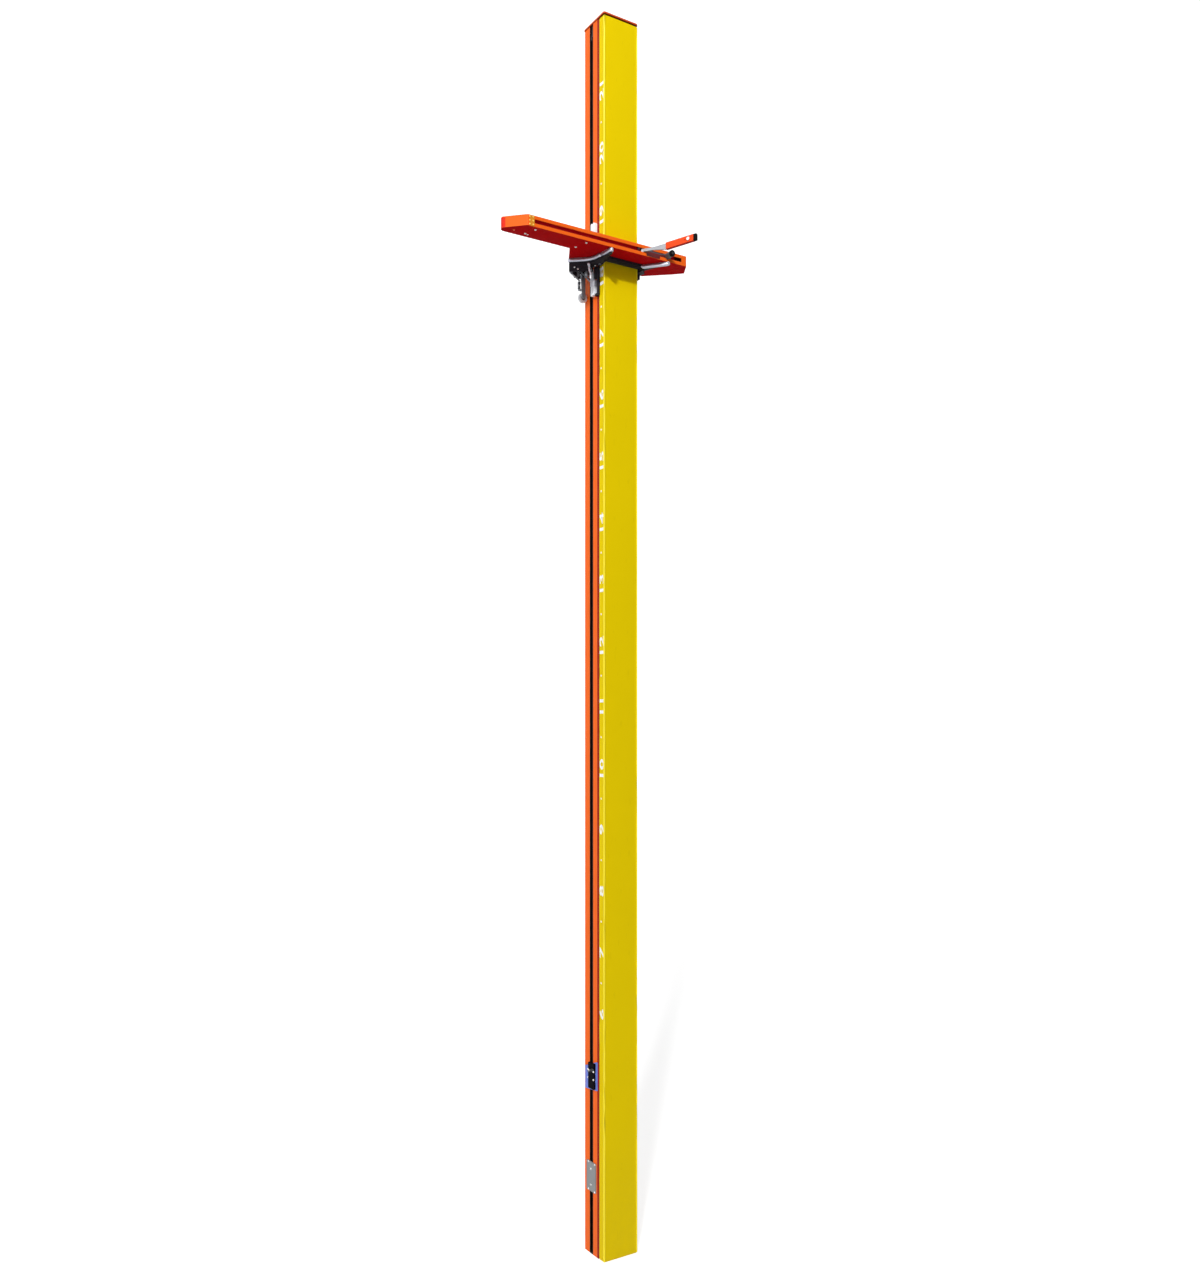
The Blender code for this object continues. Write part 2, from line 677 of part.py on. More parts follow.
def headed_axle(name, centre):
    """An axle through both cheeks, with a head on one side and a clip on the other."""
    out = CHEEK_OUTER + FIT
    solid(name, STEEL, [turned(centre, [
        (-out - 0.003, AXLE_RADIUS + 0.003), (-out, AXLE_RADIUS + 0.003), (-out, AXLE_RADIUS),
        (out, AXLE_RADIUS), (out, AXLE_RADIUS + 0.002), (out + 0.002, AXLE_RADIUS + 0.002),
    ], along_y, 16)])


def tension_unit():
    centre = (PULLEY_X, TENSION_HEIGHT)
    flanged_pulley("tension_pulley", centre, PULLEY_RADIUS, BEARING_RADIUS + FIT, 0.05)
    pulley_bearing("tension_bearing", centre)
    headed_axle("tension_axle", centre)
    back = POST_LEFT + FIT
    middle = (TENSION_PLATE_LOW + TENSION_PLATE_HIGH) / 2
    cheek = (TENSION_HEIGHT - 0.020, TENSION_HEIGHT + 0.020)
    solid("tension_yoke", STEEL, [
        block((back, back + 0.0035), (-CHEEK_OUTER, CHEEK_OUTER), (middle - 0.048, middle + 0.048)),
        block((back, PULLEY_X + 0.010), (-CHEEK_OUTER, -CHEEK_INNER), cheek),
        block((back, PULLEY_X + 0.010), (CHEEK_INNER, CHEEK_OUTER), cheek),
    ], [
        rod(centre, AXLE_RADIUS + FIT, -0.05, 0.05, along_y),
        *[rod((0.0, z), SCREW_SHANK + FIT, POST_LEFT - 0.01, back + 0.01, along_x, 12)
          for z in yoke_screw_heights()],
    ])
    face = POST_LEFT - FIT
    outer = face - TENSION_PLATE_THICKNESS
    plate = rounded([
        (-TENSION_PLATE_FRONT, TENSION_PLATE_LOW, 0.006), (TENSION_PLATE_BACK, TENSION_PLATE_LOW, 0.006),
        (TENSION_PLATE_BACK, TENSION_PLATE_HIGH, 0.006), (-TENSION_PLATE_FRONT, TENSION_PLATE_HIGH, 0.006),
    ])
    corners = [
        (y, z)
        for y in (-TENSION_PLATE_FRONT + 0.013, TENSION_PLATE_BACK - 0.013)
        for z in (TENSION_PLATE_LOW + 0.012, TENSION_PLATE_HIGH - 0.012)
    ]
    screws = [screw_head(spot, outer) for spot in corners]
    screws += [
        turned((0.0, z), [
            (outer - SCREW_RISE, SCREW_TOP), (outer - JOIN, SCREW_RADIUS), (outer + JOIN, SCREW_RADIUS),
            (outer + JOIN, SCREW_SHANK), (back + 0.0045, SCREW_SHANK),
        ], along_x, 12)
        for z in yoke_screw_heights()
    ]
    solid("tension_plate", ALUMINIUM, [prism(plate, outer, face, along_x), *screws])


def screw_head(spot, face):
    """A screw's head on a plate of the crank side."""
    return turned(spot, [
        (face - SCREW_RISE, SCREW_TOP), (face - JOIN, SCREW_RADIUS), (face + JOIN, SCREW_RADIUS),
    ], along_x, 12)


def yoke_screw_heights():
    middle = (TENSION_PLATE_LOW + TENSION_PLATE_HIGH) / 2
    return [middle - 0.039, middle + 0.039]


# Gearbox
def gear_outline(shift):
    """The worm wheel's rim at one face: each tooth leans by shift to follow the worm's lead."""
    pitch = 2 * pi / GEAR_TEETH
    tip = GEAR_PITCH_RADIUS + GEAR_ADDENDUM
    root = GEAR_PITCH_RADIUS - GEAR_DEDENDUM
    points = []
    for tooth in range(GEAR_TEETH):
        middle = pi / 2 + (tooth + 0.5) * pitch + shift
        for radius, half in ((root, 0.0019), (tip, 0.0007)):
            points.append((radius, middle - half / radius))
        for radius, half in ((tip, 0.0007), (root, 0.0019)):
            points.append((radius, middle + half / radius))
    return points


def worm_wheel():
    lean = (GEAR_WIDTH / 2) / WORM_PITCH_RADIUS / GEAR_TEETH
    sections = []
    for side in (-1, 0, 1):
        y = -GEAR_OFFSET + side * GEAR_WIDTH / 2
        ring = gear_outline(-side * lean)
        sections.append([(PULLEY_X + r * cos(a), y, DRIVE_HEIGHT + r * sin(a)) for r, a in ring])
    bore = AXLE_RADIUS + FIT
    solid(
        "worm_wheel", BRONZE, [loft(sections)],
        [rod((PULLEY_X, DRIVE_HEIGHT), bore, -0.05, 0.0, along_y)], (PULLEY_X, -GEAR_OFFSET, DRIVE_HEIGHT),
    )


def worm():
    """The crank's worm: a thread that winds once round for each tooth, on a shaft with a six-sided end."""
    lead = 2 * pi * GEAR_PITCH_RADIUS / GEAR_TEETH
    height = DRIVE_HEIGHT + GEAR_PITCH_RADIUS + WORM_PITCH_RADIUS
    tip = WORM_PITCH_RADIUS + WORM_ADDENDUM
    root = WORM_PITCH_RADIUS - WORM_DEDENDUM
    tip_half = 0.0007
    root_half = 0.0018
    rows = 32
    sides = 16

    def radius_at(x, angle):
        turn = (x - PULLEY_X) / lead - angle / (2 * pi) - 0.25
        away = abs(turn - round(turn)) * lead
        share = min(max((root_half - away) / (root_half - tip_half), 0.0), 1.0)
        return root + (tip - root) * share

    def thread(mesh):
        rings = []
        for row in range(rows + 1):
            x = PULLEY_X + WORM_LENGTH * (row / rows - 0.5)
            ring = []
            for side in range(sides):
                angle = 2 * pi * side / sides
                radius = radius_at(x, angle)
                y = -GEAR_OFFSET + radius * cos(angle)
                ring.append(mesh.verts.new((x, y, height + radius * sin(angle))))
            rings.append(ring)
        for lower, upper in zip(rings, rings[1:]):
            for i in range(sides):
                mesh.faces.new((lower[i - 1], lower[i], upper[i], upper[i - 1]))
        mesh.faces.new(rings[0])
        mesh.faces.new(rings[-1])

    centre = (-GEAR_OFFSET, height)
    plate_face = POST_LEFT - FIT - GEAR_PLATE_THICKNESS
    housing_face = plate_face - FIT - HOUSING_DEPTH
    tip_x = housing_face - CRANK_STUB
    across = CRANK_ACROSS_FLATS / 2 / cos(pi / 6)
    solid("worm_shaft", STEEL, [
        thread,
        rod(centre, WORM_JOURNAL, housing_face - 0.003, PULLEY_X - WORM_LENGTH / 2 + 0.001, along_x, 16),
        rod(centre, WORM_JOURNAL, PULLEY_X + WORM_LENGTH / 2 - 0.001, inner_block()[1], along_x, 16),
        prism(circle(centre, across, 6), tip_x, housing_face - 0.002, along_x),
    ], origin=(PULLEY_X, -GEAR_OFFSET, height))


def inner_block():
    """Where the web that carries the worm's inner end lies along X."""
    start = PULLEY_X + WORM_LENGTH / 2 + 0.0038
    return (start, start + 0.008)


def gearbox():
    height = DRIVE_HEIGHT + GEAR_PITCH_RADIUS + WORM_PITCH_RADIUS
    drive = (PULLEY_X, DRIVE_HEIGHT)
    worm_centre = (-GEAR_OFFSET, height)
    face = POST_LEFT - FIT
    plate_face = face - GEAR_PLATE_THICKNESS
    cheek_end = CHAMBER_RIGHT - 0.003
    far_face = -GEAR_OFFSET - WORM_PITCH_RADIUS - WORM_ADDENDUM - 0.0052
    far_cheek = (far_face, far_face + CHEEK_THICKNESS)
    near_cheek = (-CHEEK_INNER - 0.002, -CHEEK_INNER)
    cheek_z = (DRIVE_HEIGHT - SNUB_RISE - 0.010, height + 0.012)
    plate = rounded([
        (-GEAR_PLATE_FRONT, GEAR_PLATE_LOW, 0.014), (GEAR_PLATE_BACK, GEAR_PLATE_LOW, 0.006),
        (GEAR_PLATE_BACK, GEAR_PLATE_HIGH, 0.006), (-GEAR_PLATE_FRONT, GEAR_PLATE_HIGH, 0.006),
    ])
    snubs = [(SNUB_X, DRIVE_HEIGHT + SNUB_RISE), (SNUB_X, DRIVE_HEIGHT - SNUB_RISE)]
    ears = [(GEAR_PLATE_BACK - 0.017, z) for z in (HOUSING_LOW + 0.041, HOUSING_HIGH - 0.050)]
    ears += [(-GEAR_PLATE_FRONT + 0.014, z) for z in (HOUSING_LOW + 0.041, HOUSING_HIGH - 0.050)]
    solid("gearbox_frame", BLUE_GREY, [
        prism(plate, plate_face, face, along_x),
        block((face - 0.001, cheek_end), near_cheek, cheek_z),
        block((face - 0.001, cheek_end), far_cheek, cheek_z),
        block((face - 0.001, cheek_end), (CHEEK_INNER, CHEEK_OUTER), cheek_z),
        block(inner_block(), (far_cheek[1] - 0.001, near_cheek[0] + 0.001), (height - 0.010, height + 0.010)),
        *[screw_head(spot, plate_face) for spot in ears],
    ], [
        rod(drive, BEARING_RADIUS + FIT, far_cheek[0] - 0.001, far_cheek[1] + 0.001, along_y),
        rod(drive, AXLE_RADIUS + RUNNING, near_cheek[0] - 0.001, near_cheek[1] + 0.001, along_y),
        rod(drive, BEARING_RADIUS + FIT, CHEEK_INNER - 0.001, CHEEK_OUTER + 0.001, along_y),
        rod(worm_centre, WORM_JOURNAL + FIT, plate_face - 0.001, cheek_end + 0.001, along_x),
        *[rod(spot, SNUB_JOURNAL + FIT, near_cheek[0] - 0.001, CHEEK_OUTER + 0.001, along_y, 14)
          for spot in snubs],
    ])
    body = rounded([
        (-HOUSING_FRONT, HOUSING_LOW, 0.008), (HOUSING_BACK, HOUSING_LOW, 0.004),
        (HOUSING_BACK, HOUSING_HIGH, 0.004), (-HOUSING_FRONT, HOUSING_HIGH, 0.004),
    ])
    outer = plate_face - FIT
    solid("gearbox_housing", BLACK, [
        prism(body, outer - HOUSING_DEPTH, outer, along_x),
    ], [rod(worm_centre, BEARING_RADIUS + FIT, outer - HOUSING_DEPTH - 0.001, outer + 0.001, along_x)])

    solid("drive_bearing_front", STEEL, [
        rod(drive, BEARING_RADIUS, far_cheek[0], far_cheek[0] + 0.005, along_y, 16, AXLE_RADIUS + FIT),
    ])
    solid("drive_bearing_back", STEEL, [
        rod(drive, BEARING_RADIUS, CHEEK_OUTER - 0.003, CHEEK_OUTER + 0.002, along_y, 16, AXLE_RADIUS + FIT),
    ])
    solid("worm_bearing", STEEL, [
        rod(worm_centre, BEARING_RADIUS, outer - HOUSING_DEPTH, outer, along_x, 16, WORM_JOURNAL + FIT),
    ])
    solid("drive_shaft", STEEL, [turned(drive, [
        (far_cheek[0] - 0.003, AXLE_RADIUS), (CHEEK_OUTER + 0.004, AXLE_RADIUS),
    ], along_y, 16)], origin=(PULLEY_X, 0, DRIVE_HEIGHT))
    flanged_pulley("drive_pulley", drive, DRIVE_RADIUS, AXLE_RADIUS + FIT, 0.05)
    for name, spot in zip(("snub_roller_upper", "snub_roller_lower"), snubs):
        reach = CHEEK_OUTER - FIT
        wide = CHEEK_INNER - FIT
        solid(name, STEEL, [turned(spot, [
            (near_cheek[0] + FIT, SNUB_JOURNAL), (-wide, SNUB_JOURNAL), (-wide, SNUB_RADIUS),
            (wide, SNUB_RADIUS), (wide, SNUB_JOURNAL), (reach, SNUB_JOURNAL),
        ], along_y, 16)], origin=(spot[0], 0, spot[1]))


# Carriage
def ring_hole():
    """The opening that the padded upright runs through."""
    return [
        (BAY_LEFT, RING_BACK), (BAY_LEFT, -LEFT_BAY_FRONT), (POST_LEFT - COLLAR_GAP, -LEFT_BAY_FRONT),
        (POST_LEFT - COLLAR_GAP, RING_FRONT), (RING_RIGHT, RING_FRONT), (RING_RIGHT, RING_BACK),
    ]


def ring_outline(inset, front_bar):
    """The carriage from above: the wing on the crank side, two horns under the arm, and the rear bar."""
    radius = HORN_RADIUS - inset
    lean = (Vector(RIGHT_HORN) - Vector((PAD_RIGHT, PAD_FRONT))).normalized()
    side = Vector((lean.y, -lean.x))
    right_tip = Vector(RIGHT_HORN)
    front = RING_FRONT - front_bar
    left_tip = Vector(LEFT_HORN)
    heading = atan2(lean.y, lean.x)
    near = right_tip + side * radius
    share = (front - near.y) / lean.y
    root_right = near + lean * share
    knee = (WING_KNEE[0] + inset * 0.7, WING_KNEE[1] + inset * 0.7, 0.030)
    points = [
        (WING_BACK[0] + inset, WING_BACK[1]), (WING_LEFT[0] + inset * 1.4, WING_LEFT[1]), knee,
        *arc(left_tip, radius, pi, 2 * pi, 8),
        (left_tip.x + radius + 0.002, front + 0.001), (left_tip.x + radius + 0.006, front),
        (root_right.x, front),
        *arc(right_tip, radius, heading - pi / 2, heading + pi / 2, 8),
        (RING_RIGHT + RIGHT_LEG + 0.018, PAD_FRONT - 0.004),
        (RING_RIGHT + RIGHT_LEG - inset, PAD_FRONT + 0.026),
        (RING_RIGHT + RIGHT_LEG - inset, RING_BACK + REAR_BAR - inset, 0.012),
        (BAY_LEFT - LEFT_BAY + inset, RING_BACK + REAR_BAR - inset, 0.012),
        (BAY_LEFT - LEFT_BAY + inset, WING_BACK[1] + 0.004),
    ]
    return rounded(points)


def wing_frame():
    """Unit vectors along the wing's outer wall and square to it, pointing out."""
    tangent = (Vector(WING_KNEE) - Vector(WING_LEFT)).normalized()
    return tangent, Vector((tangent.y, -tangent.x))


def wing_point(travel, out=0.0):
    tangent, normal = wing_frame()
    return Vector(WING_LEFT) + tangent * travel + normal * out


def cam_travel():
    return 0.83 * (Vector(WING_KNEE) - Vector(WING_LEFT)).length


def cam_height():
    return CASTING_BOTTOM - CAM_RADIUS - FIT - STRAP_RIM - CAM_LIFT_ROOM


def cam_axis():
    """The cam shaft's start on the wing's wall, as a placement whose third axis points out."""
    start = wing_point(cam_travel())
    tangent, normal = wing_frame()
    place = along((start.x, start.y, cam_height()), (0, 0, 1), (-tangent.x, -tangent.y, 0))
    return place


def arm_bolt_spots():
    """Bolts that go up through the horns into the arm."""
    return [(LEFT_HORN[0], LEFT_HORN[1] + 0.018), (RIGHT_HORN[0] - 0.006, RIGHT_HORN[1] + 0.0165)]


def gusset_bolt_spots():
    """Bolts that go up through the casting and the plate into the gusset."""
    return [(-0.165, -0.016), (-0.143, 0.010), (-0.092, -0.110), (RING_RIGHT + 0.012, -0.062)]


def roller_lugs():
    """Ears of the casting that hold the rollers' axles, as blocks."""
    low = CASTING_BOTTOM + 0.0003
    high = CASTING_TOP - 0.0003
    rear_y = (POST_BACK + 0.009, RING_BACK + 0.004)
    inner = REAR_EAR_INNER
    outer = REAR_EAR_INNER + 2 * EAR_THICKNESS
    ears = [block(x, rear_y, (low, high)) for x in ((-outer, -inner), (inner, outer))]
    side_x = (POST_RIGHT + 0.011, RING_RIGHT + 0.004)
    ears += [block(side_x, y, (low, high)) for y in side_lug_places()]
    return ears


def rear_roller_place():
    return (POST_BACK + FIT + REAR_ROLLER_RADIUS, ROLLER_HEIGHT)


def side_roller_place():
    return (POST_RIGHT + FIT + SIDE_ROLLER_RADIUS, ROLLER_HEIGHT)


def side_lug_places():
    first = PAD_SIDE_END + COLLAR_GAP
    second = POST_BACK - 0.007
    return [(first, first + 0.005), (second, second + 0.008)]


def arm_pivot_ears():
    middle = strut_place()
    low = ARM_PIVOT_HEIGHT - 0.011
    width = (wheel_x() - 0.010, BAY_LEFT + 0.006)
    near = (middle[0] - FIT - EAR_THICKNESS, middle[0] - FIT)
    far = (middle[1] + FIT, middle[1] + FIT + EAR_THICKNESS)
    return [block(width, y, (low, CASTING_BOTTOM + 0.002)) for y in (near, far)]


def strut_place():
    """Where the roller arm's bar lies along Y, just in front of its wheel."""
    back = WHEEL_CENTRE_Y - WHEEL_WIDTH / 2 - FIT * 2
    return (back - 0.005, back)


def wheel_x():
    return POST_LEFT - FIT - WHEEL_RADIUS


def carriage():
    hole = ring_hole()
    solid("carriage_plate", ALUMINIUM, [
        prism(ring_outline(0.0, PLATE_FRONT_BAR), PLATE_BOTTOM, PLATE_TOP, holes=[hole]), *plate_bolts(),
    ])

    wall_end = cam_travel() + 0.009
    wall = [wing_point(0.001, -CASTING_INSET), wing_point(wall_end, -CASTING_INSET),
            wing_point(wall_end, -WALL_THICKNESS), wing_point(WALL_THICKNESS, -WALL_THICKNESS)]
    back_wall = [
        (WING_LEFT[0] + 0.003, WING_LEFT[1]), (WING_BACK[0] + 0.003, WING_BACK[1] - 0.001),
        (WING_BACK[0] + 0.009, WING_BACK[1] - 0.004), (WING_LEFT[0] + 0.010, WING_LEFT[1] - 0.003),
    ]
    leg_x = (POST_LEFT - COLLAR_GAP - 0.010, POST_LEFT - COLLAR_GAP)
    leg_y = (-LEFT_BAY_FRONT - 0.001, -LEFT_BAY_FRONT + 0.011)
    shoe_front = SHOE_CENTRE - SHOE_WIDTH / 2
    axis = cam_axis()
    inner_bearing = wing_point(cam_travel(), CAM_WIDTH + 0.010 - CAM_REACH)
    solid("carriage_casting", CHARCOAL, [
        prism(ring_outline(CASTING_INSET, CASTING_FRONT_BAR), CASTING_BOTTOM, CASTING_TOP, holes=[hole]),
        prism([tuple(p) for p in wall], WING_WALL_BOTTOM, CASTING_BOTTOM + 0.001),
        prism(back_wall, WING_WALL_BOTTOM, CASTING_BOTTOM + 0.001),
        block(leg_x, leg_y, (LEG_BOTTOM, CASTING_BOTTOM + 0.001)),
        block(leg_x, (leg_y[0], shoe_front - FIT), (LEG_BOTTOM, LEG_BOTTOM + 0.012)),
        block(leg_x, (leg_y[0], LEG_WEB_BACK), (LEG_WEB_BOTTOM, CASTING_BOTTOM + 0.001)),
        block((inner_bearing.x - 0.007, BAY_LEFT - 0.001), (inner_bearing.y - 0.007, inner_bearing.y + 0.007),
              (cam_height() - 0.008, CASTING_BOTTOM + 0.001)),
        block((RING_RIGHT + 0.0205, RING_RIGHT + 0.0265), (PAD_FRONT + 0.022, -0.028),
              (LUG_BOTTOM, CASTING_BOTTOM + 0.001)),
        block((RING_RIGHT + 0.002, RING_RIGHT + 0.025), (PAD_FRONT + 0.022, PAD_FRONT + 0.028),
              (LUG_BOTTOM, CASTING_BOTTOM + 0.001)),
        *roller_lugs(),
        *arm_pivot_ears(),
        link_lug(),
    ], [
        front_bar_relief(),
        link_slot(),
        rod((0, 0), CAM_SHAFT_RADIUS + FIT, -CAM_REACH - 0.017, 0.005, axis, 16),
        rod(rear_roller_place(), ROLLER_AXLE_RADIUS + FIT, -0.06, 0.06, along_x, 14),
        rod(side_roller_place(), ROLLER_AXLE_RADIUS + FIT, 0.0, 0.08, along_y, 14),
        rod((wheel_x(), ARM_PIVOT_HEIGHT), ARM_PIVOT_RADIUS + FIT,
            strut_place()[0] - 0.01, strut_place()[1] + 0.01, along_y, 14),
        *[rod(spot, BOLT_RADIUS + FIT, CASTING_BOTTOM - 0.001, CASTING_TOP + 0.001, sides=14)
          for spot in gusset_bolt_spots()],
        *[rod(spot, BOLT_HEAD + 0.0025, CASTING_BOTTOM - 0.001, CASTING_TOP + 0.001, sides=18)
          for spot in arm_bolt_spots()],
        *[rod(spot, CLAMP_BOLT_RADIUS + FIT, CASTING_BOTTOM - 0.001, CASTING_BOTTOM + 0.008, sides=12)
          for spot in clamp_bolt_spots()],
    ])


def front_bar_relief():
    """The space under the front bar, which is only as thick as a flange."""
    return block((POST_LEFT - COLLAR_GAP - 0.004, RING_RIGHT + 0.004),
                 (RING_FRONT - PLATE_FRONT_BAR - 0.010, RING_FRONT + 0.002),
                 (CASTING_BOTTOM - 0.001, CASTING_TOP - FRONT_BAR_THICKNESS))


def link_place():
    """The upright plane that holds the brake link, seen along its pin."""
    run = Vector((LINK_END[0] - LINK_TOP[0], LINK_END[1] - LINK_TOP[1], 0.0))
    return along(LINK_TOP, run, (0, 0, 1))


def link_lug():
    near = LINK_THICKNESS / 2 + FIT
    top = CASTING_BOTTOM + 0.001 - LINK_TOP[2]
    return prism(rectangle(-0.007, 0.007, -0.009, top), -near, -near - 0.004, link_place())


def link_slot():
    """The slot lets the link's pin rise with the shoe."""
    wide = LINK_PIN + FIT
    slot = [*arc((0, 0.002), wide, 0, pi, 6), *arc((0, 0), wide, pi, 2 * pi, 6)]
    near = LINK_THICKNESS / 2 + FIT
    return prism(slot, -near + 0.001, -near - 0.005, link_place())


def brake_link():
    """A flat bar from the clevis to its guide in the casting."""
    run = Vector((LINK_END[0] - LINK_TOP[0], LINK_END[1] - LINK_TOP[1]))
    drop = LINK_END[2] - LINK_TOP[2]
    end = Vector((run.length, drop))
    side = Vector((-end.y, end.x)).normalized() * (LINK_WIDTH / 2)
    back = -end.normalized() * (LINK_WIDTH / 2)
    foot = end.x + 0.003
    outline = [
        tuple(side + back * 0.5), tuple(side * 0.5 + back),
        tuple(-side * 0.5 + back), tuple(-side + back * 0.5),
        (end.x - side.x, end.y - side.y), (foot, end.y - side.y), (foot, end.y + side.y * 0.6),
    ]
    half = LINK_THICKNESS / 2
    solid("brake_link", STEEL, [
        prism(outline, -half, half, link_place()),
        turned((0, 0), [(half - 0.001, LINK_PIN), (-half - 0.006, LINK_PIN)], link_place(), 12),
    ])


def clamp_bolt_spots():
    return [(BAY_LEFT - CLAMP_OVERLAP + 0.0045, y) for y in (-0.006, 0.006)]


def belt_clamp():
    """The two jaws that tie the carriage to the near run of the belt, through the slot."""
    half = SLOT_WIDTH / 2 - 0.0007
    high = CASTING_BOTTOM - FIT
    low = high - CLAMP_HEIGHT
    belt_out = BELT_LEFT - BELT_THICKNESS / 2 - FIT
    belt_in = BELT_LEFT + BELT_THICKNESS / 2 + FIT
    screw_y = BELT_WIDTH / 2 + 0.0017
    spots = [(y, z) for y in (-screw_y, screw_y) for z in (low + 0.009, high - 0.009)]
    solid("belt_clamp_block", STEEL, [
        block((BAY_LEFT - CLAMP_OVERLAP, belt_out), (-half, half), (low, high)),
        *[rod(spot, CLAMP_BOLT_RADIUS, high - 0.001, CASTING_BOTTOM + 0.0075, sides=12)
          for spot in clamp_bolt_spots()],
    ], [rod(spot, JAW_SCREW_RADIUS + FIT, belt_out - 0.012, belt_out + 0.001, along_x, 10) for spot in spots])
    solid("belt_clamp_plate", STEEL, [
        block((belt_in, belt_in + 0.005), (-half, half), (low, high)),
        *[rod(spot, JAW_SCREW_RADIUS, belt_out - 0.010, belt_in + 0.001, along_x, 10) for spot in spots],
        *[rod(spot, JAW_SCREW_RADIUS * 1.6, belt_in + 0.004, belt_in + 0.0072, along_x, 10) for spot in spots],
    ])


def plate_bolts():
    """The carriage plate's bolts with their nuts: two up into the arm, four through casting and gusset."""
    bolts = []
    for spot in arm_bolt_spots():
        bolts.append(turned(spot, [
            (PLATE_BOTTOM - BOLT_HEAD_RISE, BOLT_HEAD * 0.95), (PLATE_BOTTOM - JOIN, BOLT_HEAD),
            (PLATE_BOTTOM + JOIN, BOLT_HEAD),
        ], sides=12))
        bolts.append(bolt_end(spot, CHANNEL_LOW + FIT))
    for spot in gusset_bolt_spots():
        head = CASTING_BOTTOM - FIT
        bolts.append(turned(spot, [
            (head - BOLT_HEAD_RISE, BOLT_HEAD * 0.95), (head, BOLT_HEAD), (head, BOLT_RADIUS),
            (PLATE_BOTTOM + JOIN, BOLT_RADIUS),
        ], sides=12))
        bolts.append(bolt_end(spot, ARM_BOTTOM + GUSSET_THICKNESS + FIT))
    return bolts


def bolt_end(spot, seat):
    """The upper end of a bolt, with its nut on the given seat."""
    top = seat + NUT_HEIGHT
    return turned(spot, [
        (PLATE_TOP - JOIN, BOLT_RADIUS), (seat, BOLT_RADIUS), (seat, NUT_RADIUS), (top, NUT_RADIUS),
        (top, BOLT_RADIUS), (top + 0.0035, BOLT_RADIUS),
    ], sides=12)


# Guide shoes and brake
def shoe_outline(low, high, lobes_up):
    """Two rounded lobes with a narrow notch between them, joined at the plain end."""
    left = SHOE_CENTRE - SHOE_WIDTH / 2
    right = SHOE_CENTRE + SHOE_WIDTH / 2
    half = SHOE_NOTCH / 2
    lobe = (SHOE_WIDTH / 2 - half) / 2
    end, plain = (high, low) if lobes_up else (low, high)
    turn = 1 if lobes_up else -1
    shoulder = end - turn * lobe
    notch = plain + turn * (high - low) * 0.25
    first = arc((left + lobe, shoulder), lobe, pi, pi - turn * pi, 8)
    second = arc((right - lobe, shoulder), lobe, pi, pi - turn * pi, 8)
    return [
        (left, plain), *first, (SHOE_CENTRE - half, notch),
        (SHOE_CENTRE + half, notch), *second, (right, plain),
    ]


def shoes():
    face = POST_LEFT - FIT
    back = face - SHOE_THICKNESS
    solid("upper_guide_shoe", NYLON, [
        prism(shoe_outline(UPPER_SHOE_LOW, UPPER_SHOE_HIGH, True), back, face, along_x),
    ])
    left = SHOE_CENTRE - SHOE_WIDTH / 2
    right = SHOE_CENTRE + SHOE_WIDTH / 2
    foot = ARM_BOTTOM + GUSSET_THICKNESS + FIT
    rear = back - FIT
    solid("upper_shoe_bracket", CHARCOAL, [
        block((rear - 0.005, rear), (left, right), (foot, UPPER_SHOE_LOW + 0.028)),
        block((rear - 0.034, rear - 0.001), (left, right), (foot, foot + 0.006)),
        prism([(rear - 0.028, foot + 0.004), (rear - 0.003, foot + 0.004), (rear - 0.003, foot + 0.060)],
              SHOE_CENTRE - 0.003, SHOE_CENTRE + 0.003, along_y),
        block((rear - 0.001, face), (left, right), (UPPER_SHOE_LOW - 0.008, UPPER_SHOE_LOW - FIT)),
    ])


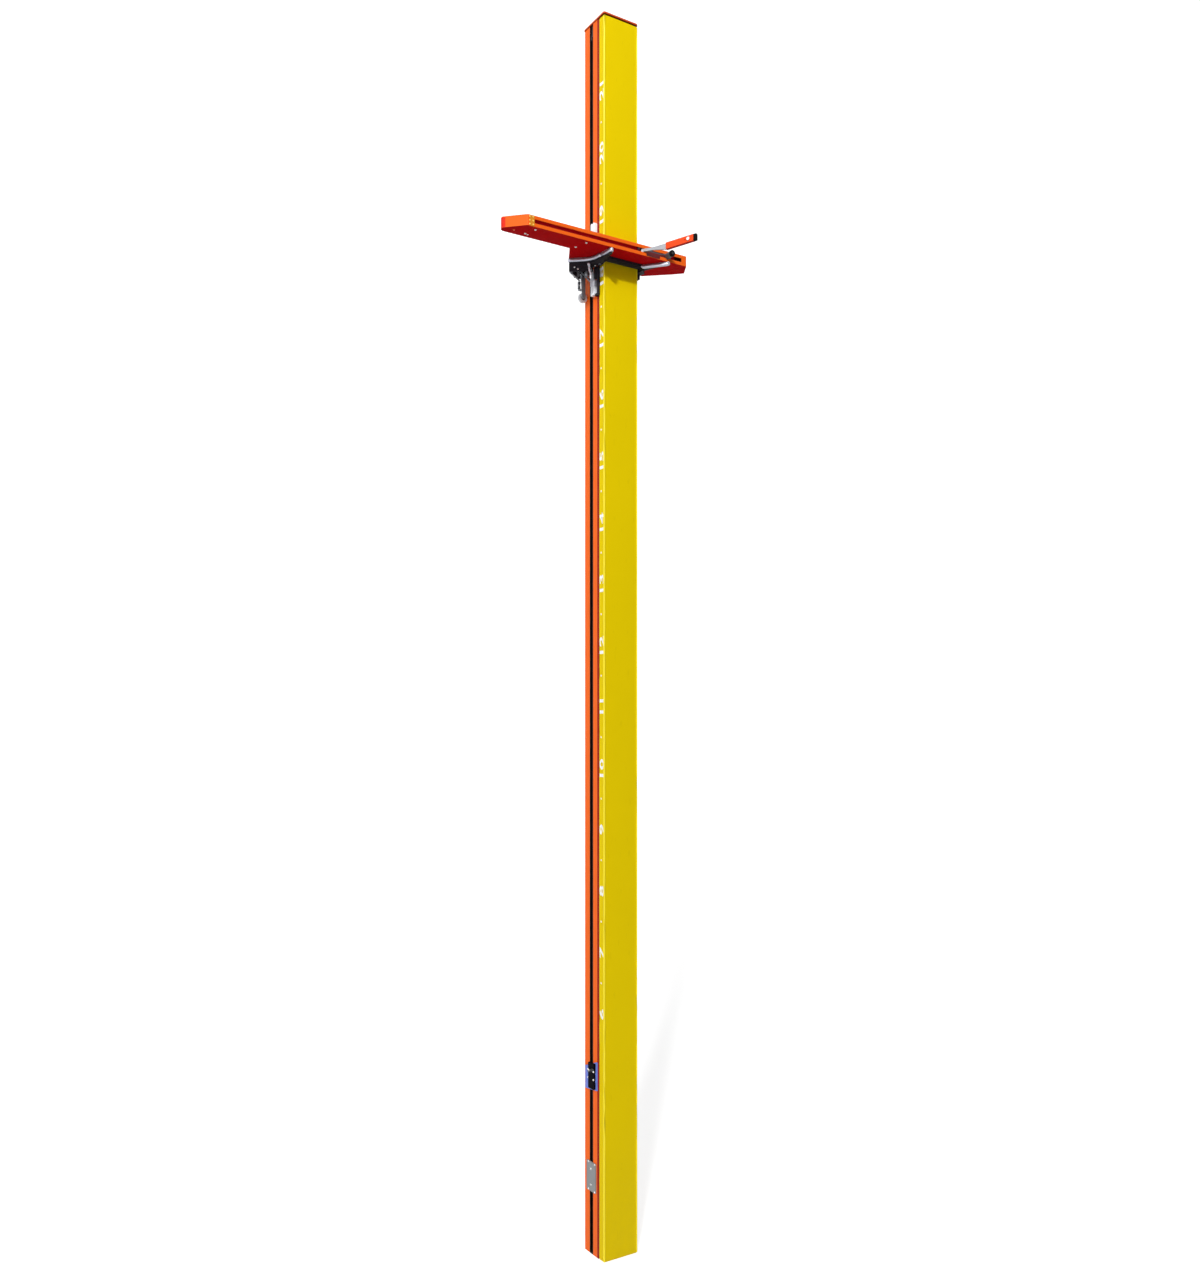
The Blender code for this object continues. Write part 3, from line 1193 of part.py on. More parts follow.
def brake():
    axis = cam_axis()
    origin = wing_point(cam_travel())
    pivot = (origin.x, origin.y, cam_height())
    lever_out = 0.0015
    stem = 0.006
    drop = 0.068
    outline = rounded([
        (0.006, -0.005, 0.004), (0.006, 0.005, 0.004), (-0.030, 0.0015), (-0.040, -0.004),
        (-drop, -0.0045, 0.003), (-drop, -0.0125, 0.003), (-0.038, -0.012), (-0.026, -0.0065),
    ])
    solid("brake_lever", STEEL, [
        prism(outline, lever_out, lever_out + stem, axis),
        rod((-drop + 0.004, -0.0085), 0.003, lever_out + stem - JOIN, lever_out + stem + 0.004, axis, 12),
    ], [rod((0, 0), CAM_SHAFT_RADIUS + FIT, -0.001, 0.02, axis, 16)], pivot)
    nut = lever_out + stem
    cam_inner = -CAM_REACH
    cam_outer = CAM_WIDTH - CAM_REACH
    solid("brake_cam_shaft", STEEL, [
        turned((0, 0), [
            (cam_inner, CAM_SHAFT_RADIUS), (nut + FIT, CAM_SHAFT_RADIUS), (nut + FIT, 0.0050),
            (nut + 0.003, 0.0066), (nut + 0.007, 0.0066), (nut + 0.010, 0.0040),
        ], axis, 16),
        rod((0, -CAM_OFFSET), CAM_RADIUS, cam_inner, cam_outer, axis, 24),
    ], origin=pivot)

    face = POST_LEFT - FIT
    back = face - SHOE_THICKNESS
    left = SHOE_CENTRE - SHOE_WIDTH / 2
    right = SHOE_CENTRE + SHOE_WIDTH / 2
    solid("brake_shoe", NYLON, [
        prism(shoe_outline(BRAKE_SHOE_LOW, BRAKE_SHOE_HIGH, False), back, face, along_x),
    ])
    low = BRAKE_SHOE_HIGH + FIT - cam_height()
    window_high = CAM_RADIUS + FIT
    rim = STRAP_RIM
    side_gap = 0.0008
    window_left = -CAM_OFFSET - CAM_RADIUS - side_gap
    window_right = CAM_SHAFT_RADIUS + side_gap
    strap = rectangle(low + 0.002, window_high + rim, window_left - rim, window_right + rim)
    window = rectangle(-window_high, window_high, window_left, window_right)
    middle = (cam_inner + cam_outer) / 2
    solid("brake_clevis", STEEL, [
        block((back + 0.001, face - 0.002), (left, right), (BRAKE_SHOE_HIGH + FIT, BRAKE_SHOE_HIGH + 0.030)),
        prism(strap, middle - 0.0015, middle + 0.0015, axis),
    ], [prism(window, middle - 0.004, middle + 0.004, axis)])


# Sprung roller arm
def roller_arm():
    x = wheel_x()
    front, back = strut_place()
    pivot = (x, (front + back) / 2, ARM_PIVOT_HEIGHT)
    half = 0.006
    centre = (x, WHEEL_HEIGHT)
    wide = (WHEEL_CENTRE_Y - WHEEL_WIDTH / 2, WHEEL_CENTRE_Y + WHEEL_WIDTH / 2)
    ear_z = spring_low() - FIT
    solid("roller_arm", STEEL, [
        prism(rounded([
            (x - half, ARM_PIVOT_HEIGHT + 0.007, 0.005), (x + half, ARM_PIVOT_HEIGHT + 0.007, 0.005),
            (x + half, WHEEL_HEIGHT - 0.007, 0.005), (x - half, WHEEL_HEIGHT - 0.007, 0.005),
        ]), front, back, along_y),
        block((spring_place()[0] - 0.006, x - half + 0.001), (front, spring_place()[1] + 0.005),
              (ear_z - 0.006, ear_z)),
        turned(centre, [
            (front + JOIN, ARM_PIVOT_RADIUS), (wide[1] + FIT, ARM_PIVOT_RADIUS),
            (wide[1] + FIT, ARM_PIVOT_RADIUS + 0.002), (wide[1] + 0.003, ARM_PIVOT_RADIUS + 0.002),
        ], along_y, 14),
    ], [rod((x, ARM_PIVOT_HEIGHT), ARM_PIVOT_RADIUS + FIT, front - 0.001, back + 0.001, along_y, 14)], pivot)
    hub = 0.0115
    origin = (x, WHEEL_CENTRE_Y, WHEEL_HEIGHT)
    solid("guide_wheel_tyre", NYLON, [turned(centre, [
        (wide[0], WHEEL_RADIUS - 0.002), (wide[0] + 0.002, WHEEL_RADIUS), (wide[1] - 0.002, WHEEL_RADIUS),
        (wide[1], WHEEL_RADIUS - 0.002),
    ], along_y, 32)], [rod(centre, hub + FIT, wide[0] - 0.001, wide[1] + 0.001, along_y, 24)], origin)
    solid("guide_wheel_hub", CHARCOAL, [
        rod(centre, hub, wide[0], wide[1], along_y, 24, ARM_PIVOT_RADIUS + FIT),
    ], origin=origin)


def spring_place():
    return (wheel_x() - 0.021, WHEEL_CENTRE_Y - 0.004)


def spring_high():
    return WING_WALL_BOTTOM - FIT - SPRING_LINK_THICKNESS - FIT


def spring_low():
    return spring_high() - SPRING_LENGTH


def spring_link():
    """The flat tie that carries the spring's upper end from the wing's corner."""
    start = wing_point(0.006, -0.004)
    end = Vector(spring_place())
    run = (end - start).normalized()
    side = Vector((-run.y, run.x)) * 0.004
    tip = end + run * 0.004
    outline = [tuple(start + side), tuple(start - side), tuple(tip - side), tuple(tip + side)]
    solid("spring_link", STEEL, [
        prism(outline, WING_WALL_BOTTOM - FIT - SPRING_LINK_THICKNESS, WING_WALL_BOTTOM - FIT),
    ])


def spring():
    """One unbroken wire: a straight end, the curls, and a straight end."""
    x, y = spring_place()
    low = spring_low()
    high = spring_high()
    straight = 2 * SPRING_WIRE
    rise = high - low - 2 * (straight + SPRING_WIRE)
    count = SPRING_TURNS * SPRING_POINTS
    coil = []
    for i in range(count + 1):
        angle = 2 * pi * i / SPRING_POINTS
        coil.append((x + SPRING_RADIUS * cos(angle), y + SPRING_RADIUS * sin(angle),
                     low + straight + SPRING_WIRE + rise * i / count))
    points = [(coil[0][0], coil[0][1], low), *coil, (coil[-1][0], coil[-1][1], high)]
    wire = bpy.data.curves.new("arm_spring", "CURVE")
    wire.dimensions = "3D"
    wire.bevel_depth = SPRING_WIRE
    wire.bevel_resolution = 1
    wire.use_fill_caps = True
    line = wire.splines.new("POLY")
    line.points.add(len(points) - 1)
    for place, point in zip(line.points, points):
        place.co = (*point, 1.0)
    wire.materials.append(STEEL)
    made = bpy.data.objects.new("arm_spring", wire)
    bpy.context.collection.objects.link(made)
    gap = min(
        (Vector(a) - Vector(b)).length
        for i, a in enumerate(coil) for b in coil[i + SPRING_POINTS // 2:]
    ) - 2 * SPRING_WIRE
    print("spring: least gap between curls", round(gap * 1000, 2), "mm")


def rollers():
    rear = rear_roller_place()
    side = side_roller_place()
    bore = ROLLER_AXLE_RADIUS + FIT
    solid("rear_roller", NYLON, [
        rod(rear, REAR_ROLLER_RADIUS, -REAR_EAR_INNER + RUNNING, REAR_EAR_INNER - RUNNING, along_x, 24, bore),
    ], origin=(0, *rear))
    places = side_lug_places()
    near = places[0][1] + RUNNING
    far = places[1][0] - RUNNING
    solid("side_roller", NYLON, [
        rod(side, SIDE_ROLLER_RADIUS, near, far, along_y, 24, bore),
    ], origin=(side[0], (near + far) / 2, side[1]))
    seat = REAR_EAR_INNER + 2 * EAR_THICKNESS + FIT
    end = seat + 0.0027
    solid("rear_roller_axle", STEEL, [turned(rear, [
        (-end, AXLE_HEAD_RADIUS), (-seat, AXLE_HEAD_RADIUS), (-seat, ROLLER_AXLE_RADIUS),
        (seat, ROLLER_AXLE_RADIUS), (seat, AXLE_HEAD_RADIUS), (end, AXLE_HEAD_RADIUS),
    ], along_x, 14)])
    seat = places[1][1] + FIT
    solid("side_roller_axle", STEEL, [turned(side, [
        (places[0][0] - 0.002, ROLLER_AXLE_RADIUS), (seat, ROLLER_AXLE_RADIUS),
        (seat, AXLE_HEAD_RADIUS), (seat + 0.0027, AXLE_HEAD_RADIUS),
    ], along_y, 14)])
    front, back = strut_place()
    start = front - FIT - EAR_THICKNESS
    end = back + FIT + EAR_THICKNESS
    solid("roller_arm_pin", STEEL, [turned((wheel_x(), ARM_PIVOT_HEIGHT), [
        (start - 0.003, ARM_PIVOT_RADIUS + 0.0025), (start - FIT, ARM_PIVOT_RADIUS + 0.0025),
        (start - FIT, ARM_PIVOT_RADIUS), (end + FIT, ARM_PIVOT_RADIUS),
        (end + FIT, ARM_PIVOT_RADIUS + 0.002), (end + 0.0025, ARM_PIVOT_RADIUS + 0.002),
    ], along_y, 14)])


# Crossbar arm
def arm():
    section = [
        (ARM_BACK, ARM_BOTTOM), (ARM_BACK, ARM_TOP), (ARM_FRONT, ARM_TOP), (ARM_FRONT, GROOVE_HIGH),
        (CHANNEL_FRONT, GROOVE_HIGH), (CHANNEL_FRONT, CHANNEL_HIGH), (CHANNEL_BACK, CHANNEL_HIGH),
        (CHANNEL_BACK, CHANNEL_LOW), (CHANNEL_FRONT, CHANNEL_LOW), (CHANNEL_FRONT, GROOVE_LOW),
        (ARM_FRONT, GROOVE_LOW), (ARM_FRONT, ARM_BOTTOM),
    ]
    cavity = [
        (CAVITY_FRONT, CHANNEL_LOW), (ARM_BACK - ARM_WALL, CHANNEL_LOW), (ARM_BACK - ARM_WALL, CHANNEL_HIGH),
        (CAVITY_FRONT, CHANNEL_HIGH),
    ]
    notch = block((SLIDE_LEFT + 0.045, SLIDE_LEFT + 0.128), (ARM_FRONT - 0.001, CHANNEL_FRONT + 0.001),
                  (ARM_BOTTOM + 0.002, GROOVE_LOW + 0.001))
    nose_spots, tail_spots, plain_spots = arm_screw_spots()
    holes = [rod(spot, SCREW_SHANK + FIT, ARM_BOTTOM - 0.001, CHANNEL_LOW + 0.001, sides=12)
             for spot in (*nose_spots[:2], *tail_spots[:1])]
    holes += [rod(spot, BOLT_RADIUS + FIT, ARM_BOTTOM - 0.001, CHANNEL_LOW + 0.001, sides=14)
              for spot in arm_bolt_spots()]
    solid("arm_beam", ORANGE, [
        prism(section, BEAM_LEFT + FIT, BEAM_RIGHT - FIT, along_x, [cavity]),
        *[screw_below(spot) for spot in plain_spots],
    ], [notch, *holes])

    tongue_y = (CAVITY_FRONT + FIT, ARM_BACK - ARM_WALL - FIT)
    tongue_z = (CHANNEL_LOW + FIT, CHANNEL_HIGH - FIT)
    nose = rounded([
        (BEAM_LEFT, ARM_FRONT), (ARM_LEFT + NOSE_CHAMFER, ARM_FRONT, 0.010),
        (ARM_LEFT, ARM_FRONT + NOSE_CHAMFER, 0.008), (ARM_LEFT, ARM_BACK, NOSE_ROUND), (BEAM_LEFT, ARM_BACK),
    ])
    solid("arm_nose", ORANGE, [
        prism(nose, ARM_BOTTOM, ARM_TOP),
        block((BEAM_LEFT - 0.001, BEAM_LEFT + TONGUE_LENGTH), tongue_y, tongue_z),
        *[screw_through(spot) for spot in nose_spots[:2]], screw_below(nose_spots[2]),
        *[turned(spot, [(ARM_FRONT - 0.0022, 0.0027), (ARM_FRONT - 0.001, 0.0038), (ARM_FRONT + 0.001, 0.0038)],
                 along_y, 10) for spot in rivet_spots()],
    ])
    tail = rounded([
        (BEAM_RIGHT, ARM_BACK), (BEAM_RIGHT, ARM_FRONT), (BEAM_RIGHT + TAIL_FRONT_FLAT, ARM_FRONT, 0.006),
        (ARM_RIGHT, ARM_BACK - TAIL_POINT, 0.006), (ARM_RIGHT - TAIL_POINT, ARM_BACK, 0.006),
    ])
    solid("arm_tail", ORANGE, [
        prism(tail, ARM_BOTTOM, ARM_TOP),
        block((BEAM_RIGHT - TONGUE_LENGTH, BEAM_RIGHT + 0.001), tongue_y, tongue_z),
        screw_through(tail_spots[0]), screw_below(tail_spots[1]),
    ])


def screw_below(spot):
    """A screw's head on the arm's underside."""
    return turned(spot, [
        (ARM_BOTTOM - SCREW_RISE, SCREW_TOP), (ARM_BOTTOM - JOIN, SCREW_RADIUS),
        (ARM_BOTTOM + JOIN, SCREW_RADIUS),
    ], sides=12)


def screw_through(spot):
    """A screw from the underside, through the beam's wall, into the piece inside it."""
    return turned(spot, [
        (ARM_BOTTOM - SCREW_RISE, SCREW_TOP), (ARM_BOTTOM - JOIN, SCREW_RADIUS),
        (ARM_BOTTOM - FIT, SCREW_RADIUS), (ARM_BOTTOM - FIT, SCREW_SHANK), (CHANNEL_LOW + 0.002, SCREW_SHANK),
    ], sides=12)


def arm_screw_spots():
    """Screws in the arm's underside: those of the nose, of the tail, and a pair by the gusset."""
    nose = [(BEAM_LEFT + 0.018, ARM_FRONT + 0.0265), (BEAM_LEFT + 0.012, ARM_BACK - 0.030)]
    nose.append((ARM_LEFT + 0.056, ARM_BACK - 0.043))
    tail = [(BEAM_RIGHT - 0.020, ARM_BACK - 0.035), (BEAM_RIGHT + 0.022, ARM_BACK - 0.060)]
    plain = [(POST_LEFT - 0.170, ARM_FRONT + 0.0235), (POST_LEFT - 0.188, ARM_BACK - 0.029)]
    return nose, tail, plain


def rivet_spots():
    return [(x, z) for x in (BEAM_LEFT - 0.026, BEAM_LEFT - 0.008)
            for z in (ARM_BOTTOM + 0.008, (ARM_BOTTOM + ARM_TOP) / 2, ARM_TOP - 0.008)]


def gusset():
    """The plate behind the arm, flush with its underside, that spreads its load over the carriage."""
    edge = ARM_BACK + FIT
    outline = [
        (-GUSSET_LEFT, edge), WING_LEFT, WING_BACK, (BAY_LEFT, WING_BACK[1]),
        (BAY_LEFT, -LEFT_BAY_FRONT), (POST_LEFT - COLLAR_GAP, -LEFT_BAY_FRONT),
        (POST_LEFT - COLLAR_GAP, RING_FRONT), (RING_RIGHT, RING_FRONT),
        (RING_RIGHT, -GUSSET_RIGHT_BACK), (GUSSET_RIGHT, -GUSSET_RIGHT_BACK),
        (ARM_RIGHT - TAIL_POINT, edge),
    ]
    solid("gusset_plate", ORANGE, [prism(outline, ARM_BOTTOM, ARM_BOTTOM + GUSSET_THICKNESS)], [
        rod(spot, BOLT_RADIUS + FIT, ARM_BOTTOM - 0.001, ARM_BOTTOM + GUSSET_THICKNESS + 0.001, sides=14)
        for spot in gusset_bolt_spots()
    ])


# Peg slide and its clamp
def lever_pivot():
    return (LEVER_PIVOT_X, (CHANNEL_FRONT + CHANNEL_BACK) / 2)


def peg_slide():
    front = CHANNEL_FRONT + FIT
    back = CHANNEL_BACK - FIT
    low = CHANNEL_LOW + 0.0005
    high = CHANNEL_HIGH - 0.0005
    neck = (GROOVE_LOW + FIT, GROOVE_HIGH - FIT)
    pivot = lever_pivot()
    fork = (GROOVE_MIDDLE - SHANK_LOW_HEIGHT / 2 - RUNNING, GROOVE_MIDDLE + SHANK_LOW_HEIGHT / 2 + RUNNING)
    solid("peg_slide", ALUMINIUM, [
        block((SLIDE_LEFT, SLIDE_RIGHT), (front, back), (low, high)),
        block((PEG_X - 0.022, PEG_X + 0.022), (ARM_FRONT - 0.0008, front + 0.001), neck),
    ], [
        block((pivot[0] - 0.020, pivot[0] + 0.018), (front - 0.001, back + 0.001), fork),
        rod(pivot, PEG_PIN_RADIUS + FIT, low - 0.001, high + 0.001, sides=14),
        rod((PEG_X, GROOVE_MIDDLE), PEG_RADIUS + FIT, ARM_FRONT - 0.002, back + 0.001, along_y, 20),
    ], (SLIDE_LEFT, front, GROOVE_MIDDLE))


def crossbar_peg():
    centre = (PEG_X, GROOVE_MIDDLE)
    seat = ARM_FRONT - 0.0008 - FIT
    boss_end = seat - PEG_BOSS_LENGTH
    ring_end = boss_end - FIT - PEG_RING_LENGTH
    solid("crossbar_peg", STEEL, [turned(centre, [
        (CHANNEL_BACK - FIT, PEG_RADIUS), (seat, PEG_RADIUS), (seat, PEG_BOSS_RADIUS),
        (boss_end + 0.002, PEG_BOSS_RADIUS), (boss_end, PEG_BOSS_RADIUS - 0.002), (boss_end, PEG_RADIUS),
        (ring_end - 0.001, PEG_RADIUS), (ring_end - 0.002, PEG_RADIUS - 0.001),
    ], along_y, 24)])
    solid("peg_rubber_ring", RUBBER, [
        turned(centre, [
            (boss_end - FIT, PEG_BOSS_RADIUS - 0.0010), (boss_end - 0.003, PEG_BOSS_RADIUS + 0.0010),
            (ring_end + 0.003, PEG_BOSS_RADIUS + 0.0010), (ring_end, PEG_BOSS_RADIUS - 0.0010),
        ], along_y, 24),
    ], [rod(centre, PEG_RADIUS + FIT, ring_end - 0.001, boss_end + 0.001, along_y, 16)])


def clamp_lever():
    pivot = Vector(lever_pivot())
    knee = pivot + Vector(LEVER_KNEE)
    first = Vector(LEVER_KNEE).normalized()
    grip_run = Vector(GRIP_VECTOR)
    second = grip_run.normalized()
    bisector = (first + second).normalized()
    middle = GROOVE_MIDDLE

    def bar(point, heading, thickness, height):
        side = Vector((-heading.y, heading.x)) * (thickness / 2)
        a = point + side
        b = point - side
        return [(a.x, a.y, middle - height / 2), (b.x, b.y, middle - height / 2),
                (b.x, b.y, middle + height / 2), (a.x, a.y, middle + height / 2)]

    grip_start = knee + second * 0.006
    tang_end = grip_start + grip_run * 0.80
    shank = loft([
        bar(pivot + first * 0.003, first, SHANK_THICKNESS, SHANK_LOW_HEIGHT),
        bar(pivot + first * 0.060, first, SHANK_THICKNESS, SHANK_LOW_HEIGHT),
        bar(knee, bisector, SHANK_THICKNESS, SHANK_HIGH_HEIGHT),
        bar(grip_start - second * FIT, second, SHANK_THICKNESS, SHANK_HIGH_HEIGHT),
        bar(grip_start - second * FIT, second, TANG_THICKNESS, TANG_HEIGHT),
        bar(tang_end, second, TANG_THICKNESS, TANG_HEIGHT),
    ])
    rivet = grip_start + grip_run * 0.70
    across = Vector((-second.y, second.x))
    rivet_place = along((rivet.x, rivet.y, middle), (0, 0, 1), (second.x, second.y, 0))
    eye = 0.0058
    origin = (pivot.x, pivot.y, middle)
    solid("clamp_lever", STEEL, [
        shank,
        rod(tuple(pivot), eye, middle - SHANK_LOW_HEIGHT / 2, middle + SHANK_LOW_HEIGHT / 2, sides=20),
    ], [
        rod(tuple(pivot), PEG_PIN_RADIUS + FIT, middle - 0.02, middle + 0.02, sides=14),
        rod((0, 0), GRIP_RIVET_RADIUS + FIT, -0.02, 0.02, rivet_place, 12),
    ], origin)

    grip_place = along((grip_start.x, grip_start.y, middle), (across.x, across.y, 0), (0, 0, 1))
    span = grip_place(0, 0, 1) - grip_place(0, 0, 0)
    forward = 1 if span.dot(Vector((second.x, second.y, 0))) > 0 else -1
    outer = rounded([
        (-GRIP_THICKNESS / 2, -GRIP_HEIGHT / 2, 0.004), (GRIP_THICKNESS / 2, -GRIP_HEIGHT / 2, 0.004),
        (GRIP_THICKNESS / 2, GRIP_HEIGHT / 2, 0.004), (-GRIP_THICKNESS / 2, GRIP_HEIGHT / 2, 0.004),
    ], radians(30))
    half_wide = TANG_THICKNESS / 2
    half_tall = TANG_HEIGHT / 2
    inside = rectangle(-half_wide - FIT, half_wide + FIT, -half_tall - FIT, half_tall + FIT)
    length = grip_run.length
    solid("clamp_grip", GRIP, [prism(outer, 0.0, forward * length, grip_place, [inside])],
          [rod((0, 0), GRIP_RIVET_RADIUS + FIT, -0.02, 0.02, rivet_place, 12)], origin)
    plug_outer = [(a * 0.94, b * 0.97) for a, b in outer]
    solid("grip_end_plug", RUBBER, [
        prism(plug_outer, forward * (length + FIT), forward * (length + FIT + GRIP_PLUG), grip_place),
        prism(rectangle(-half_wide, half_wide, -half_tall, half_tall),
              forward * (length - 0.020), forward * (length + 0.002), grip_place),
    ], origin=origin)
    head = GRIP_THICKNESS / 2
    solid("clamp_pivot_pin", STEEL, [
        rod(tuple(pivot), PEG_PIN_RADIUS, CHANNEL_LOW + 0.0015, CHANNEL_HIGH - 0.0015, sides=14),
    ], origin=origin)
    solid("grip_rivet", STEEL, [turned((0, 0), [
        (-head - 0.002, GRIP_RIVET_HEAD * 0.92), (-head - FIT, GRIP_RIVET_HEAD),
        (-head - FIT, GRIP_RIVET_RADIUS), (head + FIT, GRIP_RIVET_RADIUS),
        (head + FIT, GRIP_RIVET_HEAD), (head + 0.002, GRIP_RIVET_HEAD * 0.92),
    ], rivet_place, 14)], origin=origin)


upright()
end_plates()
pad()
belt()
idler()
tension_unit()
gearbox()
worm_wheel()
worm()
carriage()
belt_clamp()
shoes()
brake()
brake_link()
roller_arm()
spring_link()
spring()
rollers()
gusset()
arm()
peg_slide()
crossbar_peg()
clamp_lever()
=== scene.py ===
"""Looks of the pole vault standard: vinyl pad, enamelled post and arm, cast carriage and its fittings."""

import json
from math import atan2, cos, pi, radians, sin, tau

import bmesh
import bpy
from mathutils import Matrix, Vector, noise

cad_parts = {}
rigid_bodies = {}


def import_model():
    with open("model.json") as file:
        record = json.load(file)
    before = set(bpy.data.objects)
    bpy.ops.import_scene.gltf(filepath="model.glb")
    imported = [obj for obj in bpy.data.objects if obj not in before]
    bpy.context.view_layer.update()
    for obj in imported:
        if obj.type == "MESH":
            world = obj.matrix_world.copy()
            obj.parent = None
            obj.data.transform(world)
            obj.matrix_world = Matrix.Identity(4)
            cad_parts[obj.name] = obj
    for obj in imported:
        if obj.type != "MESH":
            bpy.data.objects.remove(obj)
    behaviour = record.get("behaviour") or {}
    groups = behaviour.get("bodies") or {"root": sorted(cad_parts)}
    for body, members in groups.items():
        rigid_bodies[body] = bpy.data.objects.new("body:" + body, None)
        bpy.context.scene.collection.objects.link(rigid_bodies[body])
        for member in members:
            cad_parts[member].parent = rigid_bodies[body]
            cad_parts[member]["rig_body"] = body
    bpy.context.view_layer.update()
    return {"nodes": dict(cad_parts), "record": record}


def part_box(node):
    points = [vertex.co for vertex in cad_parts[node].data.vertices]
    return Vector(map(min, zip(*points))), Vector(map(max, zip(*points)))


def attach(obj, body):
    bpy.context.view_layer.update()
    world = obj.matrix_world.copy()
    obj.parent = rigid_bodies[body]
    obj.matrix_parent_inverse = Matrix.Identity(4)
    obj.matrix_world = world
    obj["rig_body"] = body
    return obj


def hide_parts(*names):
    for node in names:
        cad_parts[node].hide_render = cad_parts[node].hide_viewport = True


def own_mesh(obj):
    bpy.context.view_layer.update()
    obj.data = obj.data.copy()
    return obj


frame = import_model()
nodes = frame["nodes"]
packed_slots = {row["node"]: row["material_slot"] for row in frame["record"]["subparts"]}

# Sizes taken from the frame
post_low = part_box("upright_extrusion")[0]
pad_low, pad_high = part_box("upright_pad")
gusset_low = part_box("gusset_plate")[0]
beam_low, beam_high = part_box("arm_beam")
nose_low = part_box("arm_nose")[0]
cap_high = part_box("top_cap")[1]
casting_low, casting_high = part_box("carriage_casting")
gear_low, gear_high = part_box("gearbox_housing")
gear_plate_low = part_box("gearbox_frame")[0]
tension_low, tension_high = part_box("tension_plate")
wheel_low, wheel_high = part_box("guide_wheel_tyre")
clamp_low, clamp_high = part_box("peg_slide")
worm_low, worm_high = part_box("worm_shaft")
arm_bottom = gusset_low.z
arm_top = beam_high.z
arm_front = beam_low.y
arm_back = beam_high.y
nose_edge = beam_low.x
plate_top = arm_bottom - 0.0003
casting_under = casting_high.z - 0.0160
foam = 0.0435
pad_back = pad_low.y + foam
side_inner = pad_high.x - foam
# the cover reaches almost to the floor
pad_low.z = 0.0006

DOWN = (0, 0, -1)
LEFT = (-1, 0, 0)
EVEN = (1, 1, 1)


# Colours and shader groups
def paint(colour):
    """A display colour of three numbers up to 255, as the shader wants it."""
    shares = [c / 255 for c in colour]
    return (*(c / 12.92 if c <= 0.04045 else ((c + 0.055) / 1.055) ** 2.4 for c in shares), 1)


def node(tree, kind, **settings):
    made = tree.nodes.new(kind)
    for name, value in settings.items():
        setattr(made, name, value)
    return made


def feed(tree, target, *numbered, **named):
    """Sets or links inputs, in order or by name, with an underscore for each space in a name."""
    pairs = list(zip(target.inputs, numbered))
    pairs += [(target.inputs[name.replace("_", " ")], value) for name, value in named.items()]
    for socket, value in pairs:
        if isinstance(value, bpy.types.NodeSocket):
            tree.links.new(value, socket)
        elif value is not None:
            socket.default_value = value
    return target


def shader_group(name, inputs, outputs, fill):
    group = bpy.data.node_groups.new(name, "ShaderNodeTree")
    for label, kind, value in inputs:
        socket = group.interface.new_socket(name=label, in_out="INPUT", socket_type=kind)
        if value is not None:
            socket.default_value = value
    for label, kind in outputs:
        group.interface.new_socket(name=label, in_out="OUTPUT", socket_type=kind)
    fill(group, node(group, "NodeGroupInput").outputs, node(group, "NodeGroupOutput").inputs)
    return group


def math_step(tree, operation, a, b=0.0, clamp=False):
    made = node(tree, "ShaderNodeMath", operation=operation, use_clamp=clamp)
    return feed(tree, made, a, b).outputs[0]


def ramp(tree, value, start, end):
    """Runs from 0 to 1 as the value goes from start to end."""
    made = node(tree, "ShaderNodeMapRange")
    return feed(tree, made, Value=value, From_Min=start, From_Max=end).outputs[0]


def vector_step(tree, operation, a, b):
    made = node(tree, "ShaderNodeVectorMath", operation=operation)
    return feed(tree, made, a, b).outputs[0]


def mixed(tree, share, a, b):
    """One colour going over to another, on the colour sockets of the mix node."""
    made = node(tree, "ShaderNodeMix", data_type="RGBA")
    return feed(tree, made, share, None, None, None, None, None, a, b).outputs[2]


def fill_drift(tree, given, out):
    wave = node(tree, "ShaderNodeTexNoise")
    feed(tree, wave, Vector=given["Place"], Scale=given["Scale"], Detail=4.0, Roughness=0.6)
    swing = math_step(tree, "MULTIPLY", math_step(tree, "SUBTRACT", wave.outputs[0], 0.5), given["Amount"])
    tone = node(tree, "ShaderNodeHueSaturation")
    feed(tree, tone, Value=math_step(tree, "ADD", 1.0, swing), Color=given["Colour"])
    tree.links.new(tone.outputs[0], out["Colour"])
    tree.links.new(swing, out["Change"])


def fill_grain(tree, given, out):
    place = vector_step(tree, "MULTIPLY", given["Place"], given["Stretch"])
    fine = node(tree, "ShaderNodeTexNoise")
    feed(tree, fine, Vector=place, Scale=given["Scale"], Detail=3.0, Roughness=0.55)
    tree.links.new(fine.outputs[0], out["Height"])


def fill_wear(tree, given, out):
    shape = node(tree, "ShaderNodeNewGeometry")
    rounded = node(tree, "ShaderNodeBevel", samples=4)
    feed(tree, rounded, Radius=given["Width"])
    turn = node(tree, "ShaderNodeVectorMath", operation="DOT_PRODUCT")
    feed(tree, turn, rounded.outputs[0], shape.outputs["Normal"])
    edge = ramp(tree, turn.outputs["Value"], 0.995, 0.90)
    spots = node(tree, "ShaderNodeTexNoise")
    feed(tree, spots, Vector=given["Place"], Scale=given["Scale"], Detail=6.0, Roughness=0.7)
    both = math_step(tree, "MULTIPLY", edge, ramp(tree, spots.outputs[0], 0.50, 0.66))
    tree.links.new(math_step(tree, "MULTIPLY", both, given["Amount"], True), out["Mask"])


def fill_scratches(tree, given, out):
    place = vector_step(tree, "MULTIPLY", given["Place"], given["Stretch"])
    lines = node(tree, "ShaderNodeTexNoise")
    feed(tree, lines, Vector=place, Scale=given["Scale"], Detail=2.0, Roughness=0.5)
    thin = ramp(tree, lines.outputs[0], 0.67, 0.71)
    tree.links.new(math_step(tree, "MULTIPLY", thin, given["Amount"]), out["Mask"])


